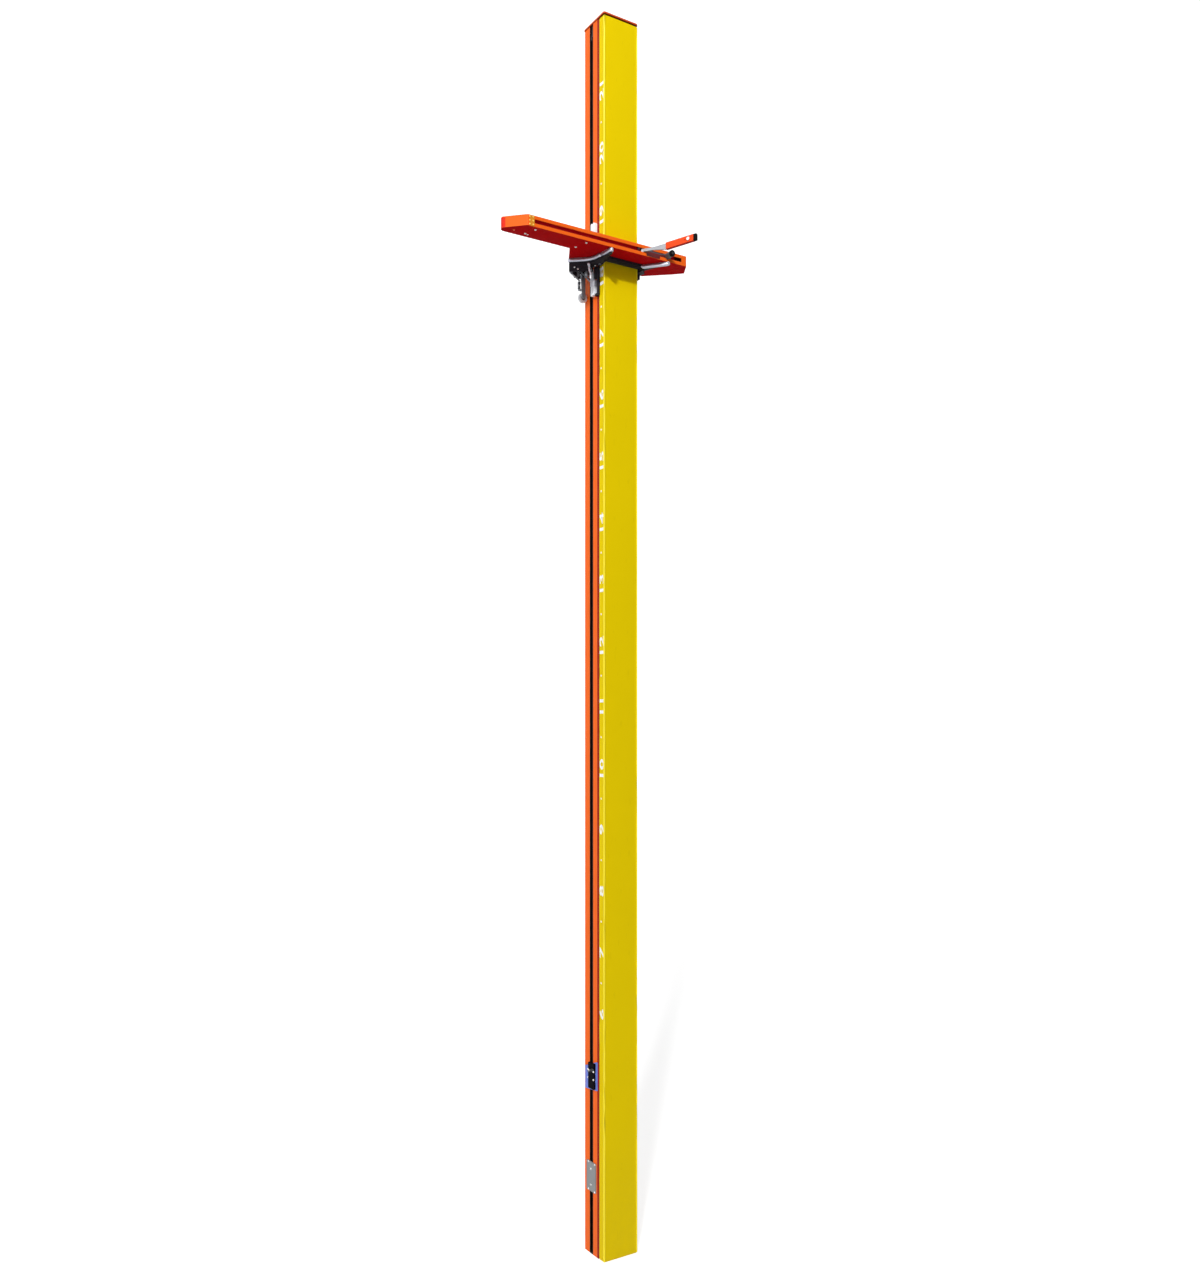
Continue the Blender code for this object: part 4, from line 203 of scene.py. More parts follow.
def fill_weave(tree, given, out):
    threads = []
    for axis in ("X", "Y", "Z"):
        line = node(tree, "ShaderNodeTexWave", wave_type="BANDS", bands_direction=axis)
        feed(tree, line, Vector=given["Place"], Scale=given["Scale"], Distortion=0.6, Detail=1.0)
        threads.append(line.outputs["Fac"])
    cross = math_step(tree, "ADD", math_step(tree, "ADD", threads[0], threads[1]), threads[2])
    tree.links.new(math_step(tree, "MULTIPLY", cross, 0.333), out["Height"])


def fill_within(tree, given, out):
    """How far a place is inside a box, with a soft edge."""
    above = vector_step(tree, "SUBTRACT", given["Place"], given["Low"])
    below = vector_step(tree, "SUBTRACT", given["High"], given["Place"])
    sides = []
    for gap in (above, below):
        scaled = vector_step(tree, "DIVIDE", gap, given["Edge"])
        sides.append(vector_step(tree, "MAXIMUM", vector_step(tree, "MINIMUM", scaled, (1, 1, 1)), (0, 0, 0)))
    parts = node(tree, "ShaderNodeSeparateXYZ")
    tree.links.new(vector_step(tree, "MULTIPLY", *sides), parts.inputs[0])
    flat = math_step(tree, "MULTIPLY", parts.outputs[0], parts.outputs[1])
    tree.links.new(math_step(tree, "MULTIPLY", flat, parts.outputs[2]), out["Mask"])


def fill_grime(tree, given, out):
    parts = node(tree, "ShaderNodeSeparateXYZ")
    tree.links.new(given["Place"], parts.inputs[0])
    near_ground = ramp(tree, parts.outputs[2], given["Height"], 0.0)
    spots = node(tree, "ShaderNodeTexNoise")
    feed(tree, spots, Vector=given["Place"], Scale=26.0, Detail=5.0, Roughness=0.65)
    both = math_step(tree, "MULTIPLY", near_ground, spots.outputs[0])
    tree.links.new(math_step(tree, "MULTIPLY", both, given["Amount"], True), out["Mask"])


PLACE = ("Place", "NodeSocketVector", None)
AMOUNT = ("Amount", "NodeSocketFloat", 0.1)
SCALE = ("Scale", "NodeSocketFloat", 10.0)
STRETCH = ("Stretch", "NodeSocketVector", EVEN)
MASK = [("Mask", "NodeSocketFloat")]
HEIGHT = [("Height", "NodeSocketFloat")]
GROUPS = {
    "drift": shader_group(
        "colour_drift", [PLACE, ("Colour", "NodeSocketColor", None), AMOUNT, SCALE],
        [("Colour", "NodeSocketColor"), ("Change", "NodeSocketFloat")], fill_drift),
    "grain": shader_group("fine_grain", [PLACE, SCALE, STRETCH], HEIGHT, fill_grain),
    "wear": shader_group(
        "worn_edges", [PLACE, SCALE, ("Width", "NodeSocketFloat", 0.0015), AMOUNT], MASK, fill_wear),
    "scratches": shader_group("scratches", [PLACE, SCALE, STRETCH, AMOUNT], MASK, fill_scratches),
    "weave": shader_group("vinyl_weave", [PLACE, SCALE], HEIGHT, fill_weave),
    "within": shader_group(
        "inside_box",
        [PLACE, ("Low", "NodeSocketVector", None), ("High", "NodeSocketVector", None),
         ("Edge", "NodeSocketVector", (0.001, 0.001, 0.001))], MASK, fill_within),
    "grime": shader_group(
        "ground_grime", [PLACE, ("Height", "NodeSocketFloat", 0.6), AMOUNT], MASK, fill_grime),
}


def placed(tree, name, **inputs):
    made = node(tree, "ShaderNodeGroup")
    made.node_tree = GROUPS[name]
    return feed(tree, made, **inputs)


# Finishes
DUST = (96, 84, 62)
RELIEF_HEIGHT = 0.0006


def finish(name, colour, roughness, metallic=0.0, drift=(0.10, 8.0), grain=(700.0, EVEN, 0.08),
           wear=None, scratches=None, grime=None, patches=(), shine=0.5, weave=None, sheen=0.0):
    """A surface whose colour drifts, with grain in relief, worn edges, scratches, grime and patches.

    drift is amount and scale, grain is scale, stretch and strength, wear is scale, amount and colour,
    scratches is scale, stretch, amount and colour, grime is height and amount.
    """
    made = bpy.data.materials.new(name)
    made.use_nodes = True
    tree = made.node_tree
    shader = tree.nodes["Principled BSDF"]
    place = node(tree, "ShaderNodeTexCoord").outputs["Object"]
    tone = placed(tree, "drift", Place=place, Colour=paint(colour), Amount=drift[0], Scale=drift[1])
    seen = tone.outputs["Colour"]
    for low, high, other, edge in patches:
        mask = placed(tree, "within", Place=place, Low=low, High=high, Edge=edge)
        seen = mixed(tree, mask.outputs[0], seen, paint(other))
    if grime:
        mask = placed(tree, "grime", Place=place, Height=grime[0], Amount=grime[1])
        seen = mixed(tree, mask.outputs[0], seen, paint(DUST))
    if scratches:
        scale, stretch, amount, other = scratches
        mask = placed(tree, "scratches", Place=place, Scale=scale, Stretch=stretch, Amount=amount)
        seen = mixed(tree, mask.outputs[0], seen, paint(other))
    if wear:
        scale, amount, other = wear
        mask = placed(tree, "wear", Place=place, Scale=scale, Amount=amount)
        seen = mixed(tree, mask.outputs[0], seen, paint(other))
    tree.links.new(seen, shader.inputs["Base Color"])
    rough = math_step(tree, "ADD", roughness, math_step(tree, "MULTIPLY", tone.outputs["Change"], 0.8), True)
    tree.links.new(rough, shader.inputs["Roughness"])
    shader.inputs["Metallic"].default_value = metallic
    shader.inputs["Specular IOR Level"].default_value = shine
    shader.inputs["Sheen Weight"].default_value = sheen
    relief = placed(tree, "grain", Place=place, Scale=grain[0], Stretch=grain[1]).outputs[0]
    if weave:
        cloth = placed(tree, "weave", Place=place, Scale=weave).outputs[0]
        relief = math_step(tree, "ADD", relief, cloth)
    bump = node(tree, "ShaderNodeBump")
    feed(tree, bump, Strength=grain[2], Distance=RELIEF_HEIGHT, Height=relief)
    tree.links.new(bump.outputs[0], shader.inputs["Normal"])
    made.diffuse_color = paint(colour)
    return made


# Places where a finish turns to another colour: real marks, painted shade and painted highlight
FAR = 9.0
ALL = (-FAR, FAR)


def patch(colour, x=ALL, y=ALL, z=ALL, edge=(0.0006, 0.0006, 0.0006)):
    """A box of another colour, with the width of its soft edge on each axis."""
    low, high = zip(x, y, z)
    return low, high, colour, edge


# near-black colour of painted shade in the post's slot and chamber
HOLLOW_SHADE = (8, 6, 7)
slot_half = 0.0140
lip_half = 0.0165
chamber_half = 0.0632
# painted shade: the slot's inside walls drawn near black
slot_inside_shade = patch(HOLLOW_SHADE, x=(post_low.x + 0.0003, post_low.x + 0.058), y=(-slot_half, slot_half))
# painted shade: the lips beside the slot drawn nearly black
slot_lips_shade = patch(
    (15, 11, 12), x=(-FAR, post_low.x + 0.0040), y=(-lip_half, lip_half), edge=(0.0006, 0.0010, 1))
# painted shade: the chamber's inside walls drawn near black
chamber_inside_shade = patch(HOLLOW_SHADE, x=(post_low.x + 0.0036, -0.0108), y=(-chamber_half, chamber_half))
# painted shade: a dark red band along the post's front corner
front_corner_shade = patch((150, 32, 16), y=(-FAR, post_low.y + 0.0125), edge=(1, 0.0020, 1))

groove = {"y": (arm_front + 0.0009, arm_front + 0.020), "z": (arm_bottom + 0.010, arm_top - 0.010)}
# painted shade: from this x towards the tail the groove is drawn darker still
groove_shade_from = 0.262
# painted shade: the orange paint inside the arm's groove drawn deep red
groove_painted_shade = patch((226, 18, 42), x=(nose_edge - 0.002, FAR), **groove, edge=(0.001, 0.0010, 0.0008))
groove_end_shade = patch((70, 6, 10), x=(groove_shade_from, FAR), **groove, edge=(0.010, 0.0010, 0.0008))

# painted highlight: the imported screw heads under the arm drawn near white, as glints
screw_glints_below = patch(
    (255, 250, 248), x=(-FAR, 0.20), z=(-FAR, arm_bottom - 0.0005), edge=(0.001, 0.001, 0.0002))
screws_front = patch((255, 226, 116), y=(-FAR, arm_front - 0.0004), edge=(0.001, 0.0003, 0.001))
nose_joint = patch(
    (216, 138, 38), x=(nose_edge - 0.027, nose_edge - 0.0005), y=(-FAR, arm_front + 0.006),
    z=(arm_bottom, FAR), edge=(0.002, 0.002, 0.0005))
# painted shade: the nose's left end drawn a darker red
nose_end_shade = patch(
    (224, 44, 26), x=(-FAR, nose_low.x + 0.012), z=(arm_bottom, arm_top - 0.003), edge=(0.003, 1, 0.001))
# painted shadow: the cap's sides below its top plate drawn nearly black
cap_skirt_shadow = patch((40, 8, 4), z=(-FAR, cap_high.z - 0.0068), edge=(1, 1, 0.0016))
plate_cheeks = patch((70, 74, 92), x=(post_low.x + 0.001, FAR), edge=(0.001, 0.001, 0.001))
# painted highlight: a lighter yellow band along the pad's front left corner
corner_highlight_band = patch(
    (252, 224, 26), x=(-FAR, pad_low.x + 0.0100), y=(-FAR, pad_low.y + 0.0090), edge=(0.0022, 0.0022, 1))
slide_shade = patch(
    (96, 8, 14), x=(-FAR, clamp_high.x - 0.030), y=(clamp_low.y - 0.001, FAR),
    z=(clamp_low.z - 0.01, clamp_low.z + 0.0255), edge=(0.004, 0.0004, 0.003))

BRUSHED = (1, 1, 0.1)
enamel_wear = (60.0, 0.55, (196, 120, 78))
enamel = {"drift": (0.07, 5.0), "grain": (420.0, EVEN, 0.08), "shine": 0.11}
LOOKS = {
    "orange_enamel": dict(
        colour=(255, 106, 24), roughness=0.48, wear=enamel_wear,
        scratches=(60.0, (6, 6, 0.5), 0.10, (255, 168, 110)), **enamel),
    "orange_post": dict(
        colour=(250, 106, 24), roughness=0.46, wear=enamel_wear, grime=(0.35, 0.16),
        scratches=(60.0, (6, 6, 0.4), 0.10, (255, 168, 110)),
        patches=[front_corner_shade, slot_inside_shade, slot_lips_shade, chamber_inside_shade], **enamel),
    "orange_cap": dict(colour=(206, 78, 34), roughness=0.50, wear=enamel_wear, patches=[cap_skirt_shadow], **enamel),
    "orange_arm": dict(
        colour=(243, 101, 24), roughness=0.44, wear=(60.0, 0.75, (255, 190, 96)),
        scratches=(80.0, (0.5, 6, 6), 0.12, (255, 160, 90)),
        patches=[groove_painted_shade, groove_end_shade, nose_joint, nose_end_shade, screw_glints_below, screws_front], **enamel),
    # painted shade: the arm's orange paint underneath drawn dark red
    "underside_painted_shade": dict(
        colour=(192, 8, 16), roughness=0.66, drift=(0.40, 11.0), grain=(380.0, EVEN, 0.12), shine=0.02,
        scratches=(30.0, EVEN, 0.30, (206, 48, 46)), patches=[screw_glints_below]),
    "yellow_vinyl": dict(
        colour=(234, 205, 0), roughness=0.50, drift=(0.08, 1.6), grain=(260.0, EVEN, 0.20), shine=0.06,
        scratches=(26.0, (3, 3, 0.6), 0.12, (196, 166, 8)), grime=(0.7, 0.14), weave=240.0,
        patches=[corner_highlight_band]),
    "dark_red_board": dict(
        colour=(150, 28, 14), roughness=0.62, grain=(300.0, (1, 1, 0.2), 0.30), shine=0.1),
    "fastener_strip": dict(colour=(30, 28, 28), roughness=0.95, grain=(2600.0, EVEN, 0.9), sheen=0.4),
    "black_rubber": dict(colour=(18, 17, 18), roughness=0.72, grain=(900.0, EVEN, 0.35), shine=0.06),
    "zinc_steel": dict(
        colour=(150, 152, 158), roughness=0.42, metallic=0.85, drift=(0.30, 60.0),
        grain=(900.0, BRUSHED, 0.16), scratches=(130.0, (1, 1, 6), 0.40, (90, 92, 98))),
    # near-white zinc for screw heads and the grip's rivet: the paleness is a painted glint
    "zinc_painted_glint": dict(
        colour=(255, 253, 252), roughness=0.34, metallic=0.10, drift=(0.06, 60.0), grain=(900.0, EVEN, 0.10)),
    "grey_steel": dict(
        colour=(158, 163, 172), roughness=0.46, metallic=0.25, drift=(0.35, 70.0),
        grain=(800.0, BRUSHED, 0.20), scratches=(120.0, (1, 1, 6), 0.40, (176, 178, 182)),
        wear=(90.0, 0.8, (200, 202, 206))),
    "spring_steel": dict(
        colour=(104, 106, 112), roughness=0.42, metallic=0.45, drift=(0.30, 60.0), grain=(900.0, EVEN, 0.2)),
    "shank_steel": dict(
        colour=(150, 152, 157), roughness=0.36, metallic=0.45, drift=(0.30, 60.0),
        grain=(800.0, BRUSHED, 0.18), scratches=(120.0, (1, 1, 6), 0.35, (110, 112, 118)),
        wear=(90.0, 0.8, (236, 236, 238))),
    "pale_steel": dict(
        colour=(228, 232, 242), roughness=0.38, metallic=0.20, drift=(0.25, 60.0),
        grain=(800.0, BRUSHED, 0.18), scratches=(120.0, (1, 1, 6), 0.35, (120, 122, 128)),
        wear=(90.0, 0.8, (240, 240, 242))),
    "dark_steel": dict(
        colour=(84, 86, 94), roughness=0.40, metallic=0.35, drift=(0.30, 60.0), grain=(800.0, EVEN, 0.20),
        wear=(90.0, 0.8, (190, 192, 198)), patches=[slide_shade]),
    "tension_grey": dict(
        colour=(138, 141, 143), roughness=0.50, metallic=0.25, drift=(0.22, 40.0), shine=0.3,
        grain=(700.0, (1, 1, 0.2), 0.22), scratches=(110.0, (5, 5, 1), 0.30, (176, 180, 190)),
        wear=(80.0, 0.8, (200, 200, 205))),
    "satin_aluminium": dict(
        colour=(178, 181, 194), roughness=0.34, metallic=0.75, drift=(0.18, 40.0),
        grain=(800.0, (0.08, 1, 1), 0.14), scratches=(110.0, (5, 1, 1), 0.35, (120, 122, 132))),
    "charcoal_casting": dict(
        colour=(40, 37, 44), roughness=0.58, drift=(0.30, 24.0), grain=(330.0, EVEN, 0.55), shine=0.10,
        wear=(70.0, 0.5, (96, 98, 108))),
    "black_housing": dict(
        colour=(6, 5, 14), roughness=0.50, drift=(0.2, 40.0), grain=(620.0, EVEN, 0.30), shine=0.02,
        wear=(80.0, 0.25, (60, 60, 80))),
    "blue_grey_plate": dict(
        colour=(118, 136, 222), roughness=0.50, drift=(0.14, 30.0), grain=(500.0, EVEN, 0.15), shine=0.2,
        wear=(70.0, 0.4, (190, 196, 220)), patches=[plate_cheeks]),
    "white_nylon": dict(
        colour=(244, 249, 255), roughness=0.45, drift=(0.05, 50.0), grain=(600.0, EVEN, 0.10), shine=0.3,
        scratches=(120.0, (1, 1, 5), 0.2, (190, 190, 196))),
    "gear_bronze": dict(colour=(180, 132, 66), roughness=0.36, metallic=1.0, drift=(0.2, 80.0)),
    "orange_grip": dict(
        colour=(240, 78, 30), roughness=0.50, drift=(0.08, 30.0), grain=(520.0, EVEN, 0.35), shine=0.2),
    "grip_shade": dict(
        colour=(176, 26, 14), roughness=0.60, drift=(0.12, 30.0), grain=(520.0, EVEN, 0.35), shine=0.1),
    "scale_white": dict(
        colour=(252, 252, 250), roughness=0.55, drift=(0.04, 30.0), grain=(500.0, EVEN, 0.12), shine=0.3),
    # the piping's yellow is paler than the cover's: a painted highlight along the welts
    "piping_painted_highlight": dict(
        colour=(255, 234, 44), roughness=0.40, drift=(0.04, 6.0), shine=0.30,
        grain=(500.0, (1, 1, 0.4), 0.20)),
    "yellow_thread": dict(colour=(250, 224, 50), roughness=0.75, grain=(1500.0, EVEN, 0.5), shine=0.2),
    # dark socket floors of the screw heads are painted shade in the recess; this finish is also the peg's
    # dark end face
    "dark_socket": dict(colour=(30, 29, 32), roughness=0.6, metallic=0.4),
}
FINISHES = {name: finish(name, **look) for name, look in LOOKS.items()}

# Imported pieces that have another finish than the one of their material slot
OWN_FINISH = {
    "upright_extrusion": "orange_post", "foot_plate": "orange_post", "arm_beam": "orange_arm",
    "arm_nose": "orange_arm", "arm_tail": "orange_arm", "gusset_plate": "orange_arm", "top_cap": "orange_cap",
    "roller_arm": "grey_steel", "spring_link": "grey_steel", "brake_link": "grey_steel",
    "brake_clevis": "pale_steel", "brake_lever": "pale_steel", "brake_cam_shaft": "pale_steel",
    "clamp_lever": "shank_steel", "peg_slide": "dark_steel", "crossbar_peg": "dark_steel",
    "tension_plate": "tension_grey", "grip_rivet": "zinc_painted_glint", "worm_shaft": "dark_steel",
}
for name, slot in packed_slots.items():
    nodes[name].data.materials.clear()
    nodes[name].data.materials.append(FINISHES[OWN_FINISH.get(name, slot)])


# Meshes
MERGE = 3e-5


def mesh_data(name, mesh):
    """Turns a built mesh into mesh data, and frees it."""
    data = bpy.data.meshes.new(name)
    mesh.to_mesh(data)
    mesh.free()
    return data


def in_scene(name, data):
    made = bpy.data.objects.new(name, data)
    bpy.context.scene.collection.objects.link(made)
    return made


def piece_of(name, data, look, body):
    """A piece with its finish, that rides on a body."""
    data.materials.append(FINISHES[look])
    made = in_scene(name, data)
    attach(made, body)
    return made


def object_of(name, mesh, look, body, angle=32):
    """A closed mesh as a piece, smooth but for the edges that turn by more than the angle."""
    bmesh.ops.recalc_face_normals(mesh, faces=mesh.faces)
    data = mesh_data(name, mesh)
    data.shade_smooth()
    data.set_sharp_from_angle(angle=radians(angle))
    return piece_of(name, data, look, body)


def cut_by_plane(mesh, place, normal, clear_outer=False):
    everything = [*mesh.verts, *mesh.edges, *mesh.faces]
    return bmesh.ops.bisect_plane(
        mesh, geom=everything, plane_co=place, plane_no=normal, clear_outer=clear_outer)["geom_cut"]


def softened(name, width, reshape=None, cut=None, repaint=()):
    """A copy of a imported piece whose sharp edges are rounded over, with some faces in another finish."""
    source = nodes[name]
    mesh = bmesh.new()
    mesh.from_mesh(source.data)
    if reshape:
        for v in mesh.verts:
            v.co = reshape(v.co.copy())
    if cut:
        rims = [e for e in cut_by_plane(mesh, *cut, clear_outer=True) if isinstance(e, bmesh.types.BMEdge)]
        bmesh.ops.edgeloop_fill(mesh, edges=rims)
    bmesh.ops.remove_doubles(mesh, verts=mesh.verts, dist=MERGE)
    bmesh.ops.dissolve_limit(mesh, angle_limit=radians(0.5), verts=mesh.verts, edges=mesh.edges)
    sharp = [e for e in mesh.edges if len(e.link_faces) == 2 and e.calc_face_angle() > radians(28)]
    bmesh.ops.bevel(
        mesh, geom=sharp, offset=width, offset_type="OFFSET", segments=2, profile=0.5,
        affect="EDGES", clamp_overlap=True)
    slot = packed_slots[name]
    made = object_of(name + "_finish", mesh, OWN_FINISH.get(name, slot), source["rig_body"], 40)
    for look, test in repaint:
        made.data.materials.append(FINISHES[look])
        for face in made.data.polygons:
            if test(face.center, face.normal):
                face.material_index = len(made.data.materials) - 1
    smooth = made.modifiers.new("even_faces", "WEIGHTED_NORMAL")
    smooth.keep_sharp = True
    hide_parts(name)
    return made


def loft(mesh, rings):
    """A closed skin over rings of points, with a cap on each end."""
    for one, two in zip(rings, rings[1:]):
        for k in range(len(one)):
            mesh.faces.new((one[k - 1], one[k], two[k], two[k - 1]))
    mesh.faces.new(rings[0])
    mesh.faces.new(rings[-1])


def round_ring(mesh, middle, side, rise, count):
    """Points round a middle, on an oval with two half axes."""
    turns = [tau * k / count for k in range(count)]
    return [mesh.verts.new(middle + side * cos(turn) + rise * sin(turn)) for turn in turns]


def tube(mesh, path, radius, sides=10, squeeze=1.0):
    """A round bar along a path. The radius may change from point to point."""
    points = [Vector(p) for p in path]
    last = len(points) - 1
    up = Vector((0, 0, 1))
    rings = []
    for i, point in enumerate(points):
        run = (points[min(i + 1, last)] - points[max(i - 1, 0)]).normalized()
        side = run.cross(up)
        if side.length < 1e-3:
            side = run.cross(Vector((0, 1, 0)))
        side.normalize()
        r = radius[i] if isinstance(radius, list) else radius
        rings.append(round_ring(mesh, point, side * (r * squeeze), side.cross(run) * r, sides))
    loft(mesh, rings)


def turned(mesh, centre, axis, profile, sides):
    """A turned form: profile points are (distance along the axis, radius)."""
    out = Vector(axis).normalized()
    side = out.orthogonal().normalized()
    other = out.cross(side)
    loft(mesh, [round_ring(mesh, Vector(centre) + out * travel, side * r, other * r, sides)
                for travel, r in profile])


# screw heads take the near-white zinc by default, a painted glint
def fasteners(name, spots, axis, radius, rise, body, look="zinc_painted_glint"):
    """Domed screw heads with six-sided sockets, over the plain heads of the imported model."""
    heads = bmesh.new()
    sockets = bmesh.new()
    for spot in spots:
        turned(heads, spot, axis, [
            (0.0, radius), (rise * 0.35, radius), (rise * 0.75, radius * 0.86), (rise, radius * 0.62),
            (rise, radius * 0.45), (rise * 0.62, radius * 0.42),
        ], 18)
        turned(sockets, spot, axis, [(rise * 0.50, radius * 0.43), (rise * 0.70, radius * 0.43)], 6)
    object_of(name, heads, look, body)
    # the sockets are dark: painted shade in the screw heads' recesses
    object_of(name + "_sockets", sockets, "dark_socket", body)


# Pad
corner_radius = 0.006
corner_turns = [pi / 2 * step / 6 for step in range(1, 6)]
seam = 0.016
seam_depth = 0.0017
seam_half = 0.0042


def left_relief(depth):
    """How far the pad's left side stands out at a distance from its back edge."""
    bulges = ((0.0065, 0.0065, 0.0016), (0.0375, 0.0050, 0.0013))
    out = -0.0006
    for middle, half, rise in bulges:
        away = abs(depth - middle) / half
        if away < 1:
            out += rise * (0.5 + 0.5 * cos(pi * away))
    return out


def seam_groove(value, low, high):
    """How deep the panel is drawn in by the seams beside its two edges."""
    near = min(value - low, high - value)
    return seam_depth * max(0.0, 1 - abs(near - seam) / seam_half)


def crown(value, low, high, rise):
    """How far a panel bulges between its two edges."""
    return rise * (1 - ((value - (low + high) / 2) / ((high - low) / 2)) ** 2)


def spread(low, high, steps):
    """Even places on a panel, from one rounded corner to the other."""
    length = high - low - 2 * corner_radius
    return [low + corner_radius + length * step / steps for step in range(steps + 1)]


def pad_section(z, draw):
    """The pad's outline at one height: a wrap of front panel and side panel, with sewn edges and a crown."""
    left, right, front, end = pad_low.x, pad_high.x, pad_low.y, pad_high.y
    sway = 0.0007 * noise.noise(Vector((0.3, 1.7, z * 2.2)))
    sway += 0.0004 * noise.noise(Vector((2.1, 0.4, z * 9.0)))
    points = [(side_inner, pad_back), (left + 0.004, pad_back)]
    left_steps = 16
    for step in range(left_steps + 1):
        depth = 0.0015 + (foam - 0.0075) * step / left_steps
        points.append((left - left_relief(depth) - sway, pad_back - depth))
    points += [(left + corner_radius * (1 - cos(turn)), front + corner_radius * (1 - sin(turn)))
               for turn in corner_turns]
    for x in spread(left, right, 26):
        ripple = 0.0006 * noise.noise(Vector((x * 9, 5.0, z * 3.1))) + sway * 0.5
        bulge = crown(x, left, right, 0.0018) * 0.6
        points.append((x, front + 0.0012 - bulge + seam_groove(x, left, right) + ripple))
    points += [(right - corner_radius * (1 - sin(turn)), front + corner_radius * (1 - cos(turn)))
               for turn in corner_turns]
    for y in spread(front, end, 14):
        ripple = 0.0005 * noise.noise(Vector((7.0, y * 9, z * 3.1)))
        bulge = crown(y, front, end, 0.0016) * 0.6
        points.append((right - 0.0010 + bulge - seam_groove(y, front, end) + ripple, y))
    points += [(right - corner_radius * (1 - cos(turn)), end - corner_radius * (1 - sin(turn)))
               for turn in corner_turns]
    points += [(side_inner + 0.005, end), (side_inner, end - 0.004)]
    middle_x, middle_y = (left + right) / 2, front + foam / 2
    drawn = []
    for x, y in points:
        inward_x = draw if x < middle_x else -draw
        inward_y = draw if y < middle_y else -draw
        drawn.append((x + inward_x, y + inward_y, z))
    return drawn


def make_pad():
    """The pad's cover. At both ends it is drawn in over the edge of the foam."""
    mesh = bmesh.new()
    height = pad_high.z - pad_low.z
    ends = [(0.0, 0.0045), (0.0012, 0.0022), (0.0035, 0.0008), (0.008, 0.0)]
    steps = 150
    stations = [(pad_low.z + rise, draw) for rise, draw in ends]
    stations += [(pad_low.z + height * i / steps, 0.0) for i in range(1, steps)]
    stations += [(pad_high.z - rise, draw) for rise, draw in reversed(ends)]
    loft(mesh, [[mesh.verts.new(p) for p in pad_section(z, draw)] for z, draw in stations])
    pad = object_of("pad_cover", mesh, "yellow_vinyl", "upright", 50)
    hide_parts("upright_pad")


def make_piping():
    """Welts along the pad's corners and its back edge."""
    mesh = bmesh.new()
    radius = 0.0034
    inset = 0.0024
    lines = [
        (pad_low.x + inset, pad_low.y + inset, 0.0044), (pad_high.x - inset, pad_low.y + inset, radius),
        (pad_high.x - inset, pad_high.y - inset, radius * 0.9),
        (pad_low.x + 0.0018, pad_back - 0.0016, 0.0022),
    ]
    end_gap = 0.006
    steps = 90
    span = pad_high.z - pad_low.z - 2 * end_gap
    heights = [pad_low.z + end_gap + span * i / steps for i in range(steps + 1)]
    for x, y, r in lines:
        path = [(x + 0.0004 * noise.noise(Vector((x * 50, y * 50, z * 3))), y, z) for z in heights]
        tube(mesh, path, r, 8)
    # the welts take the paler piping finish, a painted highlight
    object_of("pad_piping", mesh, "piping_painted_highlight", "upright", 60)


def make_stitches():
    """Rows of thread in the sewn channels beside the piping."""
    mesh = bmesh.new()
    pitch = 0.011
    thread = 0.0007
    half_length = pitch * 0.36
    end_gap = 0.015
    rows = [
        (pad_low.x + seam, pad_low.y + 0.0018), (pad_high.x - seam, pad_low.y + 0.0018),
        (pad_high.x - 0.0016, pad_low.y + seam), (pad_high.x - 0.0016, pad_high.y - seam),
    ]
    count = int((pad_high.z - pad_low.z - 2 * end_gap) / pitch)
    for x, y in rows:
        for i in range(count):
            middle = Vector((x, y, pad_low.z + end_gap + pitch * i))
            tips = [mesh.verts.new(middle + Vector((0, 0, rise))) for rise in (-half_length, half_length)]
            waist = round_ring(mesh, middle, Vector((thread, 0, 0)), Vector((0, thread, 0)), 4)
            for k in range(4):
                mesh.faces.new((waist[k - 1], waist[k], tips[1]))
                mesh.faces.new((waist[k], waist[k - 1], tips[0]))
    object_of("pad_stitching", mesh, "yellow_thread", "upright", 80)


# Height scale
FOOT = 0.3048
FIRST_FOOT, LAST_FOOT = 6, 21
first_height = 1.225
digit_height = 0.036
digit_width_scale = 0.110
dot_radius = 0.0050
ink = 0.0005


def on_left_side(y, z, lift):
    return Vector((pad_low.x - left_relief(pad_back - y) - lift, y, z))


def height_of(number):
    return first_height + FOOT * (number - FIRST_FOOT)


def number_outline(number):
    """The flat faces of one number, as Blender's own font draws them."""
    curve = bpy.data.curves.new("height_number", "FONT")
    curve.body = str(number)
    curve.align_x = "CENTER"
    curve.align_y = "CENTER"
    curve.offset = 0.022
    curve.resolution_u = 3
    word = bpy.data.objects.new("height_number", curve)
    shape = bmesh.new()
    shape.from_mesh(word.to_mesh())
    bpy.data.objects.remove(word)
    return shape


def laid_number(number):
    """One number laid sideways on the pad's left side, cut so that it follows the side's relief."""
    shape = number_outline(number)
    low, high = [Vector((pick(v.co.x for v in shape.verts), pick(v.co.y for v in shape.verts), 0))
                 for pick in (min, max)]
    middle = (low + high) / 2
    centre_y = (pad_back + pad_low.y) / 2 - 0.0003
    for v in shape.verts:
        across = (v.co.y - middle.y) / (high.y - low.y) * digit_height
        v.co = (0, centre_y + across, height_of(number) + (v.co.x - middle.x) * digit_width_scale)
    for share in (0.15, 0.25, 0.35, 0.62, 0.75, 0.87):
        cut_by_plane(shape, (0, pad_back - foam * share, 0), (0, 1, 0))
    for v in shape.verts:
        v.co = on_left_side(v.co.y, v.co.z, ink)
    return mesh_data("height_number", shape)


